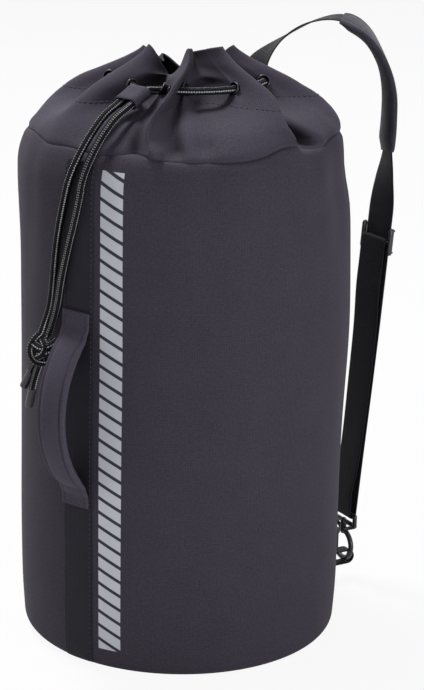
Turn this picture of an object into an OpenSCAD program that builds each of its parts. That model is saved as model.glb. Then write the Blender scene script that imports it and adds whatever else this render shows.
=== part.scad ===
// Drawstring kit bag: a round cloth tube on a flat base, closed by a gathered
// collar with a cord through eyelets, with a side carry handle and a padded
// shoulder strap that clips to a loop in the base seam.
// Millimetres. +Z is up, the base stands on z = 0, the handle faces -Y and
// the strap hangs at the back, on +Y.

/* [Bag] */
// Outer diameter of the filled bag
bag_d = 350; // [320:2:380]
// Height of the yoke seam above the floor
body_h = 556; // [500:2:600]
// Radius of the turn from the base into the side
base_round = 12; // [8:1:38]
// Radius of the shoulder just under the yoke seam
shoulder_r = 80; // [70:1:100]
// Height of the shoulder under the yoke seam
shoulder_h = 36; // [28:1:44]
// Thickness of the coated cloth with its lining
wall = 2; // [1.4:0.1:3]
// Width of the tape that binds the seams inside
binding_w = 12; // [8:1:18]
// Thickness of the binding tape
binding_t = 1.5; // [1:0.1:2]

/* [Collar] */
// Height of the gathered collar above the yoke seam
collar_h = 94; // [84:1:108]
// Height of the folded hem at the top of the collar
hem_h = 52; // [46:1:54]
// Height of the eyelets above the yoke seam
eyelet_up = 56; // [54:1:60]
// Level thickness of the single cloth of the collar
fold_t = 3.2; // [2.6:0.1:4]
// Level thickness of the doubled cloth of the hem
hem_t = 3.6; // [3:0.1:4.2]
// Share of the collar's height that its back has fallen
mouth_fall = 0.4; // [0:0.05:0.45]
// Radius of the mouth at the tops of the pleats
mouth_crest = 48; // [44:1:54]
// Radius of the mouth at the bottoms of the pleats
mouth_valley = 32; // [28:1:36]

/* [Eyelets] */
// Bore of an eyelet
eyelet_id = 14.6; // [14.4:0.2:15.4]
// Outer diameter of an eyelet and its washer
eyelet_od = 21.5; // [20.5:0.5:23]
// Sheet thickness of an eyelet
eyelet_t = 0.9; // [0.6:0.1:1.2]

/* [Drawcord] */
// Diameter of the braided cord
cord_d = 8; // [6:0.5:8]
// Distance between the two cords in the keeper
keeper_pitch = 15; // [14:0.5:17]
// Length of the keeper along the cords
keeper_l = 26; // [20:1:28]
// Cloth around each channel of the keeper
keeper_rim = 2.4; // [1.6:0.2:3]
// Radius of the knot's core
knot_r = 10; // [8:0.5:11]
// Length of the shrunk sleeve on each cord end
tip_l = 22; // [16:1:24]

/* [Band and handle] */
// Width of the band's webbing
band_w = 38; // [30:1:44]
// Thickness of the band's webbing
band_t = 1.6; // [1.2:0.1:2.2]
// Width of the handle
handle_w = 36; // [30:1:40]
// Thickness of the padded handle
handle_t = 9; // [7:0.5:11]
// Thickness of the handle's cloth
handle_skin = 1.4; // [1:0.1:2]
// Height of the middle of the handle
handle_z = 286; // [260:2:300]
// Distance between the handle's sewn ends
handle_span = 176; // [160:2:190]
// Distance from the bag to the middle of the handle
handle_bow = 42; // [38:1:48]
// Height of the handle's upper sewn end
tab_top_h = 32; // [24:1:40]
// Height of the handle's lower sewn end
tab_low_h = 24; // [20:1:36]

/* [Strap] */
// Width of the strap's webbing
strap_w = 38; // [34:1:40]
// Thickness of the strap's webbing
strap_t = 1.8; // [1.4:0.1:2]
// Width of the shoulder pad
pad_w = 58; // [52:1:66]
// Thickness of the pad's foam at its crown
pad_foam_t = 8; // [6:0.5:10]
// Thickness of the pad's cloth
pad_skin = 1.2; // [0.8:0.1:1.6]
// Height of the patch that the strap is sewn down with
anchor_h = 50; // [36:1:60]
// Angle of the strap's patch from the handle, around the bag
anchor_at = 192; // [186:1:196]

/* [Slider and hook] */
// Thickness of the slider's bars
slider_bar = 3; // [2.4:0.2:3.6]
// Height of the slider
slider_h = 28; // [24:1:34]
// Thickness of the hook's round bar
hook_bar = 6; // [5:0.2:6.4]
// Radius of the hook's round part, to the middle of its bar
hook_r = 17; // [16.5:0.5:20]
// Distance of the hook from the bag
hook_out = 45; // [42:1:52]
// Width of the base loop's webbing
loop_w = 14; // [10:1:14]
// Angle of the base loop from the handle, around the bag
loop_at = 158; // [154:1:162]

/* [Hidden] */
$fn = 96;
// Gap between pieces that lie on each other
seat = 0.3;
// Gap between pieces that move past each other
slip = 0.4;
bag_r = bag_d / 2;
flat_r = bag_r - base_round;
shoulder_z = body_h - shoulder_h;
seam_r = bag_r - shoulder_r + sqrt(shoulder_r * shoulder_r - shoulder_h * shoulder_h);
hem_from = collar_h - hem_h;
cord_r = cord_d / 2;

// Pleats of the collar: the angle of each crest, from the handle towards +X
CRESTS = [-19, 42, 82, 125, 168, 210, 252, 296, 341];
PLEATS = len(CRESTS) - 1;
// How far each crest leans over at the cord, and where on each pleat the cord passes
LEANS = [0, -15, 0, 0, 0, 0, 0, 0, 0];
PASSES = [
  [0.25, 0.75], [0.2, 0.76], [0.25, 0.75], [0.25, 0.75],
  [0.25, 0.75], [0.25, 0.75], [0.25, 0.75], [0.25, 0.75]
];
// The mouth is highest on this side
front_at = 38;
PER = 12;
// Collar shape: share of its height, then how far crest and valley have come in
FOLD = [
  [0, 0, 0], [0.15, 0.058, 0.085], [0.3, 0.147, 0.27], [0.45, 0.27, 0.7],
  [0.6, 0.434, 0.88], [0.745, 0.662, 0.896], [0.87, 0.865, 0.94], [1, 1, 1]
];

// Directions around the bag: 0 is the handle side, -Y, and 90 is +X
function out_dir(a) = [sin(a), -cos(a), 0];
function round_dir(a) = [cos(a), sin(a), 0];
function unit(v) = v / norm(v);

// Smooth curve through a list of points, with n steps between two of them
function at_end(P, i) = P[max(0, min(len(P) - 1, i))];
function between(a, b, c, d, t) =
  0.5 * ((2 * b) + (c - a) * t + (2 * a - 5 * b + 4 * c - d) * t * t
  + (3 * b - a - 3 * c + d) * t * t * t);
function smooth(P, n) = [
  for (i = [0 : len(P) - 2]) for (k = [0 : n - 1])
    between(at_end(P, i - 1), P[i], P[i + 1], at_end(P, i + 2), k / n),
  P[len(P) - 1]
];
function tangents(P) = [for (i = [0 : len(P) - 1]) unit(at_end(P, i + 1) - at_end(P, i - 1))];

// Solid through rings that all have the same number of points
module loft(rings) {
  m = len(rings[0]);
  n = len(rings);
  polyhedron(
    points = [for (r = rings) for (p = r) p],
    faces = concat(
      [[for (j = [0 : m - 1]) j]],
      [for (i = [0 : n - 2]) for (j = [0 : m - 1])
        [i * m + j, (i + 1) * m + j, i * m + (j + 1) % m]],
      [for (i = [0 : n - 2]) for (j = [0 : m - 1])
        [i * m + (j + 1) % m, (i + 1) * m + j, (i + 1) * m + (j + 1) % m]],
      [[for (j = [m - 1 : -1 : 0]) (n - 1) * m + j]]
    ),
    convexity = 6
  );
}

// Round cord along a route; side is a direction the cord never runs along
function tube_rings(P, r, side, sides = 10) =
  let (T = tangents(P))
  [for (i = [0 : len(P) - 1])
    let (a = unit(cross(side, T[i])), b = cross(T[i], a))
    [for (k = [0 : sides - 1])
      P[i] + r * (cos(360 * k / sides) * a + sin(360 * k / sides) * b)]];

// Flat strip along a route. turn is the angle of its width, from +X towards -Y.
// Section points are across the strip and towards the inside of the strap's arch.
function strip_rings(P, turn, sections) =
  let (T = tangents(P))
  [for (i = [0 : len(P) - 1])
    let (w0 = [cos(turn[i]), -sin(turn[i]), 0], w = unit(w0 - (w0 * T[i]) * T[i]),
      n = cross(T[i], w))
    [for (q = sections[i]) P[i] + q[0] * w + q[1] * n]];
function webbing(P) = [for (p = P)
  [[-strap_w, -strap_t], [strap_w, -strap_t], [strap_w, strap_t], [-strap_w, strap_t]] / 2];

// Section of the bag's tube and base, filled, grown outwards by off
module bag_fill(off) {
  translate([0, base_round]) square([bag_r + off, shoulder_z - base_round]);
  translate([0, -off]) square([flat_r, base_round + off]);
  translate([flat_r, base_round]) circle(base_round + off);
  intersection() {
    translate([bag_r - shoulder_r, shoulder_z]) circle(shoulder_r + off);
    translate([0, shoulder_z]) square([2 * bag_r, shoulder_h]);
  }
  translate([0, shoulder_z]) square([bag_r - shoulder_r, shoulder_h]);
}
// Layer of cloth that lies on the bag between two heights
module bag_layer(off0, off1, z0, z1) {
  intersection() {
    difference() {
      bag_fill(off1);
      bag_fill(off0);
    }
    translate([flat_r, z0]) square([2 * base_round + bag_r, z1 - z0]);
  }
}
// The same layer as a strip, w wide, at an angle around the bag
module bag_strip(at, w, off0, off1, z0, z1) {
  sweep = w / bag_r * 180 / PI;
  rotate([0, 0, 270 + at - sweep / 2])
    rotate_extrude(angle = sweep) bag_layer(off0, off1, z0, z1);
}
// Drawing plane that stands on the bag's axis: x is outwards and y is up
module radial(at) {
  rotate([0, 0, at - 90]) rotate([90, 0, 0]) children();
}

// Cloth tube
module body_panel() {
  color("#3d3a43") rotate_extrude() bag_layer(-wall, 0, 0, body_h);
}
// Round base
module base_panel() {
  color("#33323a") cylinder(r = flat_r - seat, h = wall);
}
// Tape over the base seam, inside
module base_binding() {
  color("#26252d") translate([0, 0, wall + seat]) difference() {
    cylinder(r = flat_r, h = binding_t);
    translate([0, 0, -1]) cylinder(r = flat_r - binding_w, h = binding_t + 2);
  }
}
// Tape over the yoke seam, inside
module yoke_binding() {
  color("#26252d") rotate_extrude()
    bag_layer(-wall - seat - binding_t, -wall - seat, body_h - binding_w, body_h);
}

// Collar: radius at an angle and a height over the seam
function pleat_of(a, i = 0) = a < CRESTS[i + 1] || i == PLEATS - 1 ? i : pleat_of(a, i + 1);
function fold_rows(c) = [for (f = FOLD) [f[0], f[c]]];
function seg(x, i = 0) = i >= len(FOLD) - 2 || x <= FOLD[i + 1][0] ? i : seg(x, i + 1);
function fold_at(x, c) =
  let (i = seg(x), t = (x - FOLD[i][0]) / (FOLD[i + 1][0] - FOLD[i][0]))
  between(at_end(FOLD, i - 1)[c], FOLD[i][c], FOLD[i + 1][c], at_end(FOLD, i + 2)[c], t);
function crest_r(h) = seam_r - (seam_r - mouth_crest) * fold_at(h / collar_h, 1);
function valley_r(h) = seam_r - (seam_r - mouth_valley) * fold_at(h / collar_h, 2);
function mid_r(h) = (crest_r(h) + valley_r(h)) / 2;
function deep(h) = (crest_r(h) - valley_r(h)) / 2;
// Point of the collar's outer face; u counts along one pleat from crest to crest
function lean_at(h) = ease((collar_h - h) / (0.7 * collar_h));
function crest_angle(i, h) = CRESTS[i] + LEANS[i] * lean_at(h);
function share(u, c) = u < 0 ? share(u + 1, c) - 1 : u < 0.25 ? 4 * u * c[0]
  : u < 0.75 ? c[0] + 2 * (u - 0.25) * (c[1] - c[0]) : c[1] + 4 * (u - 0.75) * (1 - c[1]);
function fold_angle(i, u, h) =
  crest_angle(i, h) + share(u, PASSES[i]) * (crest_angle(i + 1, h) - crest_angle(i, h));
function ease(t) = t <= 0 ? 0 : t >= 1 ? 1 : t * t * (3 - 2 * t);
function rise(a) = 1 - mouth_fall * ease((abs((a - front_at + 540) % 360 - 180) - 60) / 120);
function fold_point(i, u, h) = let (a = fold_angle(i, u, h))
  (mid_r(h) + deep(h) * cos(360 * u)) * out_dir(a) + [0, 0, body_h + h * rise(a)];
// Level normal of the outer face, and the true normal
function level_normal(i, u, h) =
  let (d = fold_point(i, u + 0.01, h) - fold_point(i, u - 0.01, h)) unit([d[1], -d[0], 0]);
function fold_normal(i, u, h) =
  let (d = fold_point(i, u + 0.01, h) - fold_point(i, u - 0.01, h),
    e = fold_point(i, u, h + 1) - fold_point(i, u, h - 1)) unit(cross(d, e));

module pleated(h0, h1, t, steps) {
  n = PLEATS * PER;
  rows = [for (k = [0 : steps]) h0 + (h1 - h0) * k / steps];
  out = [for (h = rows) for (i = [0 : PLEATS - 1]) for (k = [0 : PER - 1])
    fold_point(i, k / PER, h)];
  inn = [for (h = rows) for (i = [0 : PLEATS - 1]) for (k = [0 : PER - 1])
    fold_point(i, k / PER, h) - t * level_normal(i, k / PER, h)];
  m = len(out);
  polyhedron(
    points = concat(out, inn),
    faces = concat(
      [for (r = [0 : steps - 1]) for (j = [0 : n - 1]) let (a = r * n + j, b = r * n + (j + 1) % n)
        each [[a, a + n, b], [b, a + n, b + n]]],
      [for (r = [0 : steps - 1]) for (j = [0 : n - 1])
        let (a = m + r * n + j, b = m + r * n + (j + 1) % n)
        each [[a, b, a + n], [b, b + n, a + n]]],
      [for (j = [0 : n - 1]) let (a = j, b = (j + 1) % n)
        each [[a, b, m + a], [b, m + b, m + a]]],
      [for (j = [0 : n - 1]) let (a = steps * n + j, b = steps * n + (j + 1) % n)
        each [[a, m + a, b], [b, m + a, m + b]]]
    ),
    convexity = 10
  );
}

// Eyelets: two on each pleat, where the cord's ring passes through the cloth
ring_r = mid_r(eyelet_up);
barrel_r = eyelet_id / 2 + eyelet_t;
cloth_half = hem_t / 2 + 2 * slip;
cloth_in = cloth_half + 2 * slip;
// The tight cord turns each eyelet partly square to itself
cord_pull = 0.35;
module at_eyelets() {
  for (i = [0 : PLEATS - 1]) for (u = [0.25, 0.75]) {
    n0 = fold_normal(i, u, eyelet_up);
    along = round_dir(fold_angle(i, u, eyelet_up));
    n = unit((1 - cord_pull) * n0 + cord_pull * (n0 * along > 0 ? 1 : -1) * along);
    c = fold_point(i, u, eyelet_up) - hem_t / 2 * level_normal(i, u, eyelet_up);
    translate(c) rotate([0, acos(n[2]), atan2(n[1], n[0])]) children();
  }
}

// The cloth is pressed flat under each flange
module under_flanges() {
  at_eyelets() for (z = [cloth_half - seat, -cloth_in + seat - 2 * hem_t])
    translate([0, 0, z]) cylinder(d = eyelet_od + 2 * seat, h = 2 * hem_t);
}
// Gathered cloth above the yoke seam
module collar_panel() {
  color("#48454f") difference() {
    pleated(0, hem_from, fold_t, 6);
    under_flanges();
  }
}
// Folded hem with the eyelet holes
module collar_hem() {
  color("#4b4853") difference() {
    pleated(hem_from, collar_h, hem_t, 7);
    at_eyelets() cylinder(r = barrel_r + seat, h = 6 * hem_t, center = true);
    under_flanges();
  }
}
// Eyelet: outer flange and the barrel through the cloth
module eyelets() {
  color("#5a5a60") at_eyelets() difference() {
    union() {
      translate([0, 0, cloth_half]) cylinder(d = eyelet_od, h = eyelet_t);
      translate([0, 0, -cloth_in - eyelet_t])
        cylinder(r = barrel_r, h = cloth_in + cloth_half + eyelet_t);
    }
    translate([0, 0, -4 * hem_t]) cylinder(d = eyelet_id, h = 8 * hem_t);
  }
}
// Washer that the barrel is rolled over, inside
module eyelet_washers() {
  color("#4e4e54") at_eyelets() translate([0, 0, -cloth_in - eyelet_t]) difference() {
    cylinder(d = eyelet_od, h = eyelet_t);
    translate([0, 0, -1]) cylinder(r = barrel_r + 0.05, h = eyelet_t + 2);
  }
}

// Webbing band from the base to the yoke seam, under the handle
band_off = seat + band_t;
module side_band() {
  color("#26252d") bag_strip(0, band_w, seat, band_off, base_round / 3, body_h - 1);
}

// Handle: a padded arch on the band
arch_r = (handle_span * handle_span / 4 + handle_bow * handle_bow) / (2 * handle_bow);
// The arch moves above this distance from the bag, and its roots stay below it
root_out = band_off + 12 + handle_t / 2;
root_up = sqrt(arch_r * arch_r - pow(arch_r - handle_bow + root_out, 2));
module arch_ring(inset) {
  translate([bag_r + handle_bow - arch_r, handle_z]) difference() {
    circle(arch_r + handle_t / 2 - inset);
    circle(arch_r - handle_t / 2 + inset);
  }
}
module handle_cover() {
  color("#48424b") difference() {
    radial(0) linear_extrude(handle_w, center = true) intersection() {
      arch_ring(0);
      translate([bag_r, handle_z - root_up]) square([2 * handle_bow, 2 * root_up]);
    }
    radial(0) linear_extrude(handle_w - 2 * handle_skin, center = true) intersection() {
      arch_ring(handle_skin);
      translate([bag_r, handle_z - root_up + handle_skin])
        square([2 * handle_bow, 2 * (root_up - handle_skin)]);
    }
  }
}
// Foam inside the handle
module handle_core() {
  color("#8a8a8e") radial(0) linear_extrude(handle_w - 2 * (handle_skin + seat), center = true)
    intersection() {
      arch_ring(handle_skin + seat);
      translate([bag_r, handle_z - root_up + handle_skin + seat])
        square([2 * handle_bow, 2 * (root_up - handle_skin - seat)]);
    }
}
// Sewn end of the handle: a flat tab and the root that rises from it
module handle_root(up, tab_h) {
  z0 = handle_z + (up > 0 ? handle_span / 2 - tab_h / 4 : -handle_span / 2 - tab_h * 3 / 4);
  bag_strip(0, handle_w, band_off + seat, band_off + seat + 2 * handle_skin, z0, z0 + tab_h);
  difference() {
    radial(0) linear_extrude(handle_w, center = true) intersection() {
      arch_ring(0);
      translate([bag_r, handle_z + (up > 0 ? root_up + seat : -root_up - seat - 60)])
        square([2 * handle_bow, 60]);
    }
    cylinder(r = bag_r + band_off + seat + handle_skin, h = body_h);
  }
}
module handle_top_tab() {
  color("#48424b") handle_root(1, tab_top_h);
}
module handle_bottom_tab() {
  color("#48424b") handle_root(-1, tab_low_h);
}

// Drawcord: ring through the eyelets, two runs through the keeper, down to the knot
keeper_x = 16;
keeper_y = -110;
keeper_z = body_h + 52;
keeper_tilt = 22;
run_dir = [0, -cos(keeper_tilt), -sin(keeper_tilt)];
left_x = keeper_x - keeper_pitch / 2;
right_x = keeper_x + keeper_pitch / 2;
ring_from = fold_angle(0, 0.75, eyelet_up);
ring_to = 360 + fold_angle(0, 0.25, eyelet_up);
function on_ring(a) = ring_r * out_dir(a) + [0, 0, body_h + eyelet_up * rise(a)];
function on_run(x, s) = [x, keeper_y, keeper_z] + s * run_dir;
// The cord's stretches past the keeper, down to the knot
KNOT = [-39, -190, 346];
LEFT = [
  [7, -152, 587], [4, -165, 572], [-1, -176, 552], [-8, -181, 530], [-15, -181, 505],
  [-22, -180, 478], [-27, -179.5, 450], [-32, -178.5, 420], [-37, -178, 392], [-43, -182, 370],
  [-44, -186, 356]
];
RIGHT = [
  [22, -152, 588], [19, -164, 574], [15, -175, 555], [9.5, -180.5, 534], [5, -181.8, 510],
  [-2, -182, 484], [-10, -182, 456], [-19, -181.5, 426], [-27, -180, 396], [-33, -184, 372],
  [-35, -187, 357]
];
LEFT_TAIL = [[-50, -190, 338], [-55, -190, 332], [-60, -190, 326]];
RIGHT_TAIL = [[-43, -193, 334], [-47, -193, 327], [-51, -193, 320], [-56, -192, 310]];

module drawcord_neck() {
  color("#1b1b1f") loft(tube_rings([for (k = [0 : 60])
    on_ring(ring_from + (ring_to - ring_from) * k / 60)], cord_r, [0, 0, 1]));
}
module cord_run(at, way, x, rest) {
  p = on_ring(at);
  d = way * round_dir(at);
  color("#1b1b1f") loft(tube_rings(concat([p], smooth(concat(
    [p + 2 * d, p + 6 * d + [0, -4, 0], on_run(x, -keeper_l / 2 - 3)],
    [for (s = [-keeper_l / 2, 0, keeper_l / 2, keeper_l / 2 + 10, keeper_l / 2 + 22]) on_run(x, s)],
    rest), 2)), cord_r, [0.6, 0.5, -0.6]));
}
module drawcord_left() {
  cord_run(ring_to, 1, left_x, LEFT);
}
module drawcord_right() {
  cord_run(ring_from, -1, right_x, RIGHT);
}
// Knot that joins the two cords
module drawcord_knot() {
  color("#1b1b1f") translate(KNOT) rotate([0, 20, 0]) rotate_extrude() {
    translate([0, -cord_d]) square([knot_r - cord_r / 2, 2 * cord_d]);
    for (k = [-1, 0, 1]) translate([knot_r - (k == 0 ? 0 : cord_r / 2), k * (cord_d - 0.5)])
      circle(d = cord_d);
  }
}
module drawcord_tails() {
  color("#1b1b1f") for (P = [LEFT_TAIL, RIGHT_TAIL])
    loft(tube_rings(P, cord_r, [0.2, 1, 0.3]));
}
// Shrunk sleeves on the two ends
module cord_tips() {
  color("#3a302c") for (P = [LEFT_TAIL, RIGHT_TAIL]) {
    e = P[len(P) - 1];
    d = unit(e - P[len(P) - 2]);
    translate(e) rotate([0, acos(d[2]), atan2(d[1], d[0])]) cylinder(d = cord_d + 0.8, h = tip_l);
  }
}
// Cloth keeper with two channels
keeper_t = cord_d + 2 * slip + 2 * keeper_rim;
module cord_keeper() {
  color("#48454f") translate([keeper_x, keeper_y, keeper_z]) rotate([90 + keeper_tilt, 0, 0])
    difference() {
      union() {
        for (s = [-1, 1]) translate([s * keeper_pitch / 2, 0, -keeper_l / 2])
          cylinder(d = keeper_t, h = keeper_l);
        translate([-keeper_pitch / 2, -keeper_t / 2, -keeper_l / 2])
          cube([keeper_pitch, keeper_t, keeper_l]);
      }
      for (s = [-1, 1]) translate([s * keeper_pitch / 2, 0, -keeper_l])
        cylinder(d = cord_d + 2 * slip, h = 2 * keeper_l);
    }
}

// Shoulder strap: one webbing from the yoke seam over the pad and down to the hook
strap_off = seat + strap_t;
hook_c = (bag_r + hook_out) * out_dir(loop_at);
loop_h = hook_bar + 7.5;
loop_t = 1.8;
loop_z = 21;
hook_z = loop_z + 1 + hook_bar / 2 + hook_r;
eye_z = hook_z + hook_r + 12;
top_bar = 2.5;
top_bar_z = eye_z + 12;
wrap_r = top_bar + slip + strap_t / 2;
strap_top = (seam_r + strap_off) * out_dir(anchor_at);
// Route in four stretches: root, upper webbing to the pad's end, straight run, wrap
cut = strap_top + [0, 2, body_h + 22];
// The strap swings about the line from the hook's bar to the cut
swing = unit(cut - hook_c - [0, 0, hook_z - hook_r]);
ROOT = [strap_top + [0, 0, body_h - 1], strap_top + [0, 1, body_h + 8], cut - 6 * swing, cut];
UPPER = [
  cut + 6 * swing, [-29, bag_r - 3, body_h + 48], [-5, bag_r + 8, body_h + 75],
  [22, bag_r + 21, body_h + 93], [50, bag_r + 36, body_h + 98], [76, bag_r + 49, body_h + 83],
  [92, bag_r + 59.5, body_h + 54], [98.5, bag_r + 65.5, body_h + 22], [100, bag_r + 65.5, body_h - 13],
  [100.5, bag_r + 61, body_h - 48]
];
UPPER_TURN = [180 - anchor_at, 25, 66, 78, 70, 58, 51, 47, 46, 43];
run_top = [102, bag_r + 52, body_h - 106];
run_low = hook_c + wrap_r * out_dir(loop_at) + [2, 1.6, top_bar_z + 34];
function on_strap(t) = run_top + t * (run_low - run_top);
LOWER = concat(
  [[102, bag_r + 55, body_h - 76]],
  [for (t = [0, 0.1, 0.2, 0.3, 0.4, 0.5, 0.65, 0.8, 0.92, 1]) on_strap(t)]
);
slider_turn = 13;
LOWER_TURN = [28, 14, 13, 13, 13, 13, 14, 16, 19, 21, 22];
hook_turn = 180 - loop_at;
WRAP = [for (b = [0 : 30 : 180]) hook_c + [0, 0, top_bar_z]
  + wrap_r * (cos(b) * out_dir(loop_at) - [0, 0, sin(b)])];
BACK = [WRAP[6] + [0, 0, 9], WRAP[6] + [0, 0, 18]];

// Patch on the shoulder and the root of the webbing, up to where it swings free
root = concat(smooth([for (i = [0 : 2]) ROOT[i]], 3), [cut]);
module strap_anchor() {
  color("#212025") {
    bag_strip(anchor_at, strap_w, seat, strap_off, body_h - anchor_h, body_h - 1);
    loft(strip_rings(root, [for (p = root) 180 - anchor_at], webbing(root)));
  }
}
// The moving webbing; the pad ends at pad_to, and the lower webbing starts there
strap = concat([cut + slip * swing], smooth(concat(UPPER, LOWER), 3), WRAP, BACK);
strap_turn = concat([180 - anchor_at], smooth(concat(UPPER_TURN, LOWER_TURN), 3),
  [for (i = [0 : 8]) hook_turn]);
pad_from = 13;
pad_to = 3 * len(UPPER) - 2;
function strap_rings(sections, i0, i1) =
  let (R = strip_rings(strap, strap_turn, sections)) [for (i = [i0 : i1]) R[i]];
module strap_upper_webbing() {
  color("#212025") loft(strap_rings(webbing(strap), 0, pad_to));
}
module strap_lower_webbing() {
  color("#212025") loft(strap_rings(webbing(strap), pad_to, len(strap) - 1));
}
// Pad: outer cloth, foam with a channel for the webbing, and the lining
channel = strap_w / 2 + slip;
function pad_half(i) = let (e = min(i - pad_from, pad_to - i))
  e <= 0 ? channel + 2.5 : e == 1 ? pad_w / 2 - 2.5 : pad_w / 2;
lie = strap_t / 2 + seat;
function face_section(h) = [
  [h, -lie], [-h, -lie], [-h, -lie - pad_skin * 0.7], [-0.55 * h, -lie - pad_skin - 0.5],
  [0, -lie - pad_skin - 0.8], [0.55 * h, -lie - pad_skin - 0.5], [h, -lie - pad_skin * 0.7]
];
function foam_section(h) = [
  [-h, 0.2 - lie], [-channel, 0.2 - lie], [-channel, lie], [channel, lie], [channel, 0.2 - lie],
  [h, 0.2 - lie], [h, 0.4 * pad_foam_t], [0.6 * h, 0.88 * pad_foam_t], [0, pad_foam_t],
  [-0.6 * h, 0.88 * pad_foam_t], [-h, 0.4 * pad_foam_t]
];
function lining_section(h) = [
  [h, 0.4 * pad_foam_t + 0.2 + pad_skin], [0.6 * h, 0.88 * pad_foam_t + 0.2 + pad_skin],
  [0, pad_foam_t + 0.2 + pad_skin], [-0.6 * h, 0.88 * pad_foam_t + 0.2 + pad_skin],
  [-h, 0.4 * pad_foam_t + 0.2 + pad_skin], [-h, 0.4 * pad_foam_t + 0.2],
  [-0.6 * h, 0.88 * pad_foam_t + 0.2], [0, pad_foam_t + 0.2],
  [0.6 * h, 0.88 * pad_foam_t + 0.2], [h, 0.4 * pad_foam_t + 0.2]
];
module pad_face() {
  color("#2b2a30")
    loft(strap_rings([for (i = [0 : len(strap) - 1]) face_section(pad_half(i))], pad_from, pad_to));
}
module pad_foam() {
  color("#77767c")
    loft(strap_rings([for (i = [0 : len(strap) - 1]) foam_section(pad_half(i))], pad_from, pad_to));
}
module pad_lining() {
  color("#1f1e23")
    loft(strap_rings([for (i = [0 : len(strap) - 1]) lining_section(pad_half(i))], pad_from, pad_to));
}

// Slider on the straight run: rails, two outer bars and the middle bar
slider_at = 0.12;
slider_p = on_strap(slider_at);
up_dir = unit(run_top - run_low);
slider_tip = [-asin(up_dir[1]), asin(up_dir[0] / cos(asin(up_dir[1]))), 0];
bar_in = strap_t / 2 + slip + strap_t + slider_bar / 2 + 0.1;
bar_out = strap_t / 2 + slip + slider_bar / 2;
rail_in = strap_w / 2 + 2 * slip;
rail_w = 4;
module on_slider() {
  translate(slider_p) rotate(slider_tip) rotate([0, 0, -slider_turn]) children();
}
module strap_slider() {
  color("#19171d") on_slider() {
    for (s = [-1, 1]) {
      translate([s > 0 ? rail_in : -rail_in - rail_w, -bar_in - slider_bar / 2, -slider_h / 2])
        cube([rail_w, bar_in + bar_out + slider_bar, slider_h]);
      translate([-rail_in - rail_w / 2, bar_out, s * (slider_h - slider_bar) / 2])
        rotate([0, 90, 0]) cylinder(d = slider_bar, h = 2 * rail_in + rail_w);
    }
    translate([-rail_in - rail_w / 2, -bar_in, 0]) rotate([0, 90, 0])
      cylinder(d = slider_bar, h = 2 * rail_in + rail_w);
  }
}
// End of the webbing, sewn back around the middle bar
tail_l = 30;
module strap_end_loop() {
  color("#212025") on_slider() translate([-strap_w / 2, -bar_in, 0]) difference() {
    union() {
      rotate([0, 90, 0]) cylinder(r = slider_bar / 2 + 0.1 + strap_t, h = strap_w);
      translate([0, -slider_bar / 2 - 0.1 - strap_t, -tail_l]) cube([strap_w, strap_t, tail_l]);
    }
    translate([-1, 0, 0]) rotate([0, 90, 0]) cylinder(r = slider_bar / 2 + 0.1, h = strap_w + 2);
  }
}
// Second layer, from the hook back up to the slider
back_off = bar_in + slider_bar / 2 + 0.1 + strap_t / 2;
inward = unit(cross([cos(slider_turn), -sin(slider_turn), 0], up_dir));
function behind(t, off) = on_strap(t) + off * inward;
RETURN = [
  BACK[1] + [0, 0, 4], WRAP[6] + [0.4, 0.3, 30], behind(0.93, 6.5), behind(0.8, 4.4),
  behind(0.62, 4), behind(0.44, 4.4), behind(0.3, back_off), slider_p + back_off * inward
  - (tail_l + 0.2) * up_dir
];
RETURN_TURN = [hook_turn, hook_turn, 21, 19, 15.6, 13.5, 13, 13];
module strap_return_webbing() {
  back = concat([BACK[1]], smooth(RETURN, 3));
  turn = concat([hook_turn], smooth(RETURN_TURN, 3));
  color("#212025") loft(strip_rings(back, turn, webbing(back)));
}

// Snap hook in its own plane: x is along the bag's surface, y is inwards, z is up
module on_hook() {
  translate(hook_c + [0, 0, hook_z]) rotate([0, 0, loop_at]) children();
}
bar_r = hook_bar / 2;
gate_at = 38;
pivot = hook_r * [cos(gate_at), 0, sin(gate_at)];
gate_r = 2.2;
eye_r = 3.2;
eye_half = 2.4;
pin_r = 1.2;
eye_half_w = strap_w / 2 + 1.2 + top_bar;
module hook_arc(a0, a1) {
  rotate([90, 0, 0]) rotate([0, 0, a0]) rotate_extrude(angle = a1 - a0)
    translate([hook_r, 0]) circle(r = bar_r);
}
module snap_hook() {
  color("#19171d") on_hook() {
    difference() {
      union() {
        hook_arc(56, 306);
        for (s = [-1, 1]) translate([0, s * (eye_half + seat + 0.9), 0]) rotate([90, 0, 0]) {
          rotate([0, 0, gate_at]) rotate_extrude(angle = 30) translate([hook_r - bar_r, -0.9])
            square([hook_bar, 1.8]);
          translate([pivot[0], pivot[2], -0.9]) cylinder(r = bar_r, h = 1.8);
        }
      }
      translate(pivot) rotate([90, 0, 0]) cylinder(r = pin_r + 0.05, h = 30, center = true);
    }
    translate([0, 0, hook_r]) cylinder(r = bar_r + 0.8, h = eye_z - hook_z - hook_r);
    translate([-eye_half_w, 0, eye_z - hook_z]) rotate([0, 90, 0])
      cylinder(r = bar_r, h = 2 * eye_half_w);
    translate([-eye_half_w, 0, top_bar_z - hook_z]) rotate([0, 90, 0])
      cylinder(r = top_bar, h = 2 * eye_half_w);
    for (s = [-1, 1]) translate([s * eye_half_w, 0, eye_z - hook_z])
      cylinder(r = top_bar, h = top_bar_z - eye_z);
    for (s = [-1, 1]) {
      translate([s * eye_half_w, 0, top_bar_z - hook_z]) sphere(r = top_bar);
      translate([s * eye_half_w, 0, eye_z - hook_z]) sphere(r = bar_r);
    }
  }
}
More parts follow.
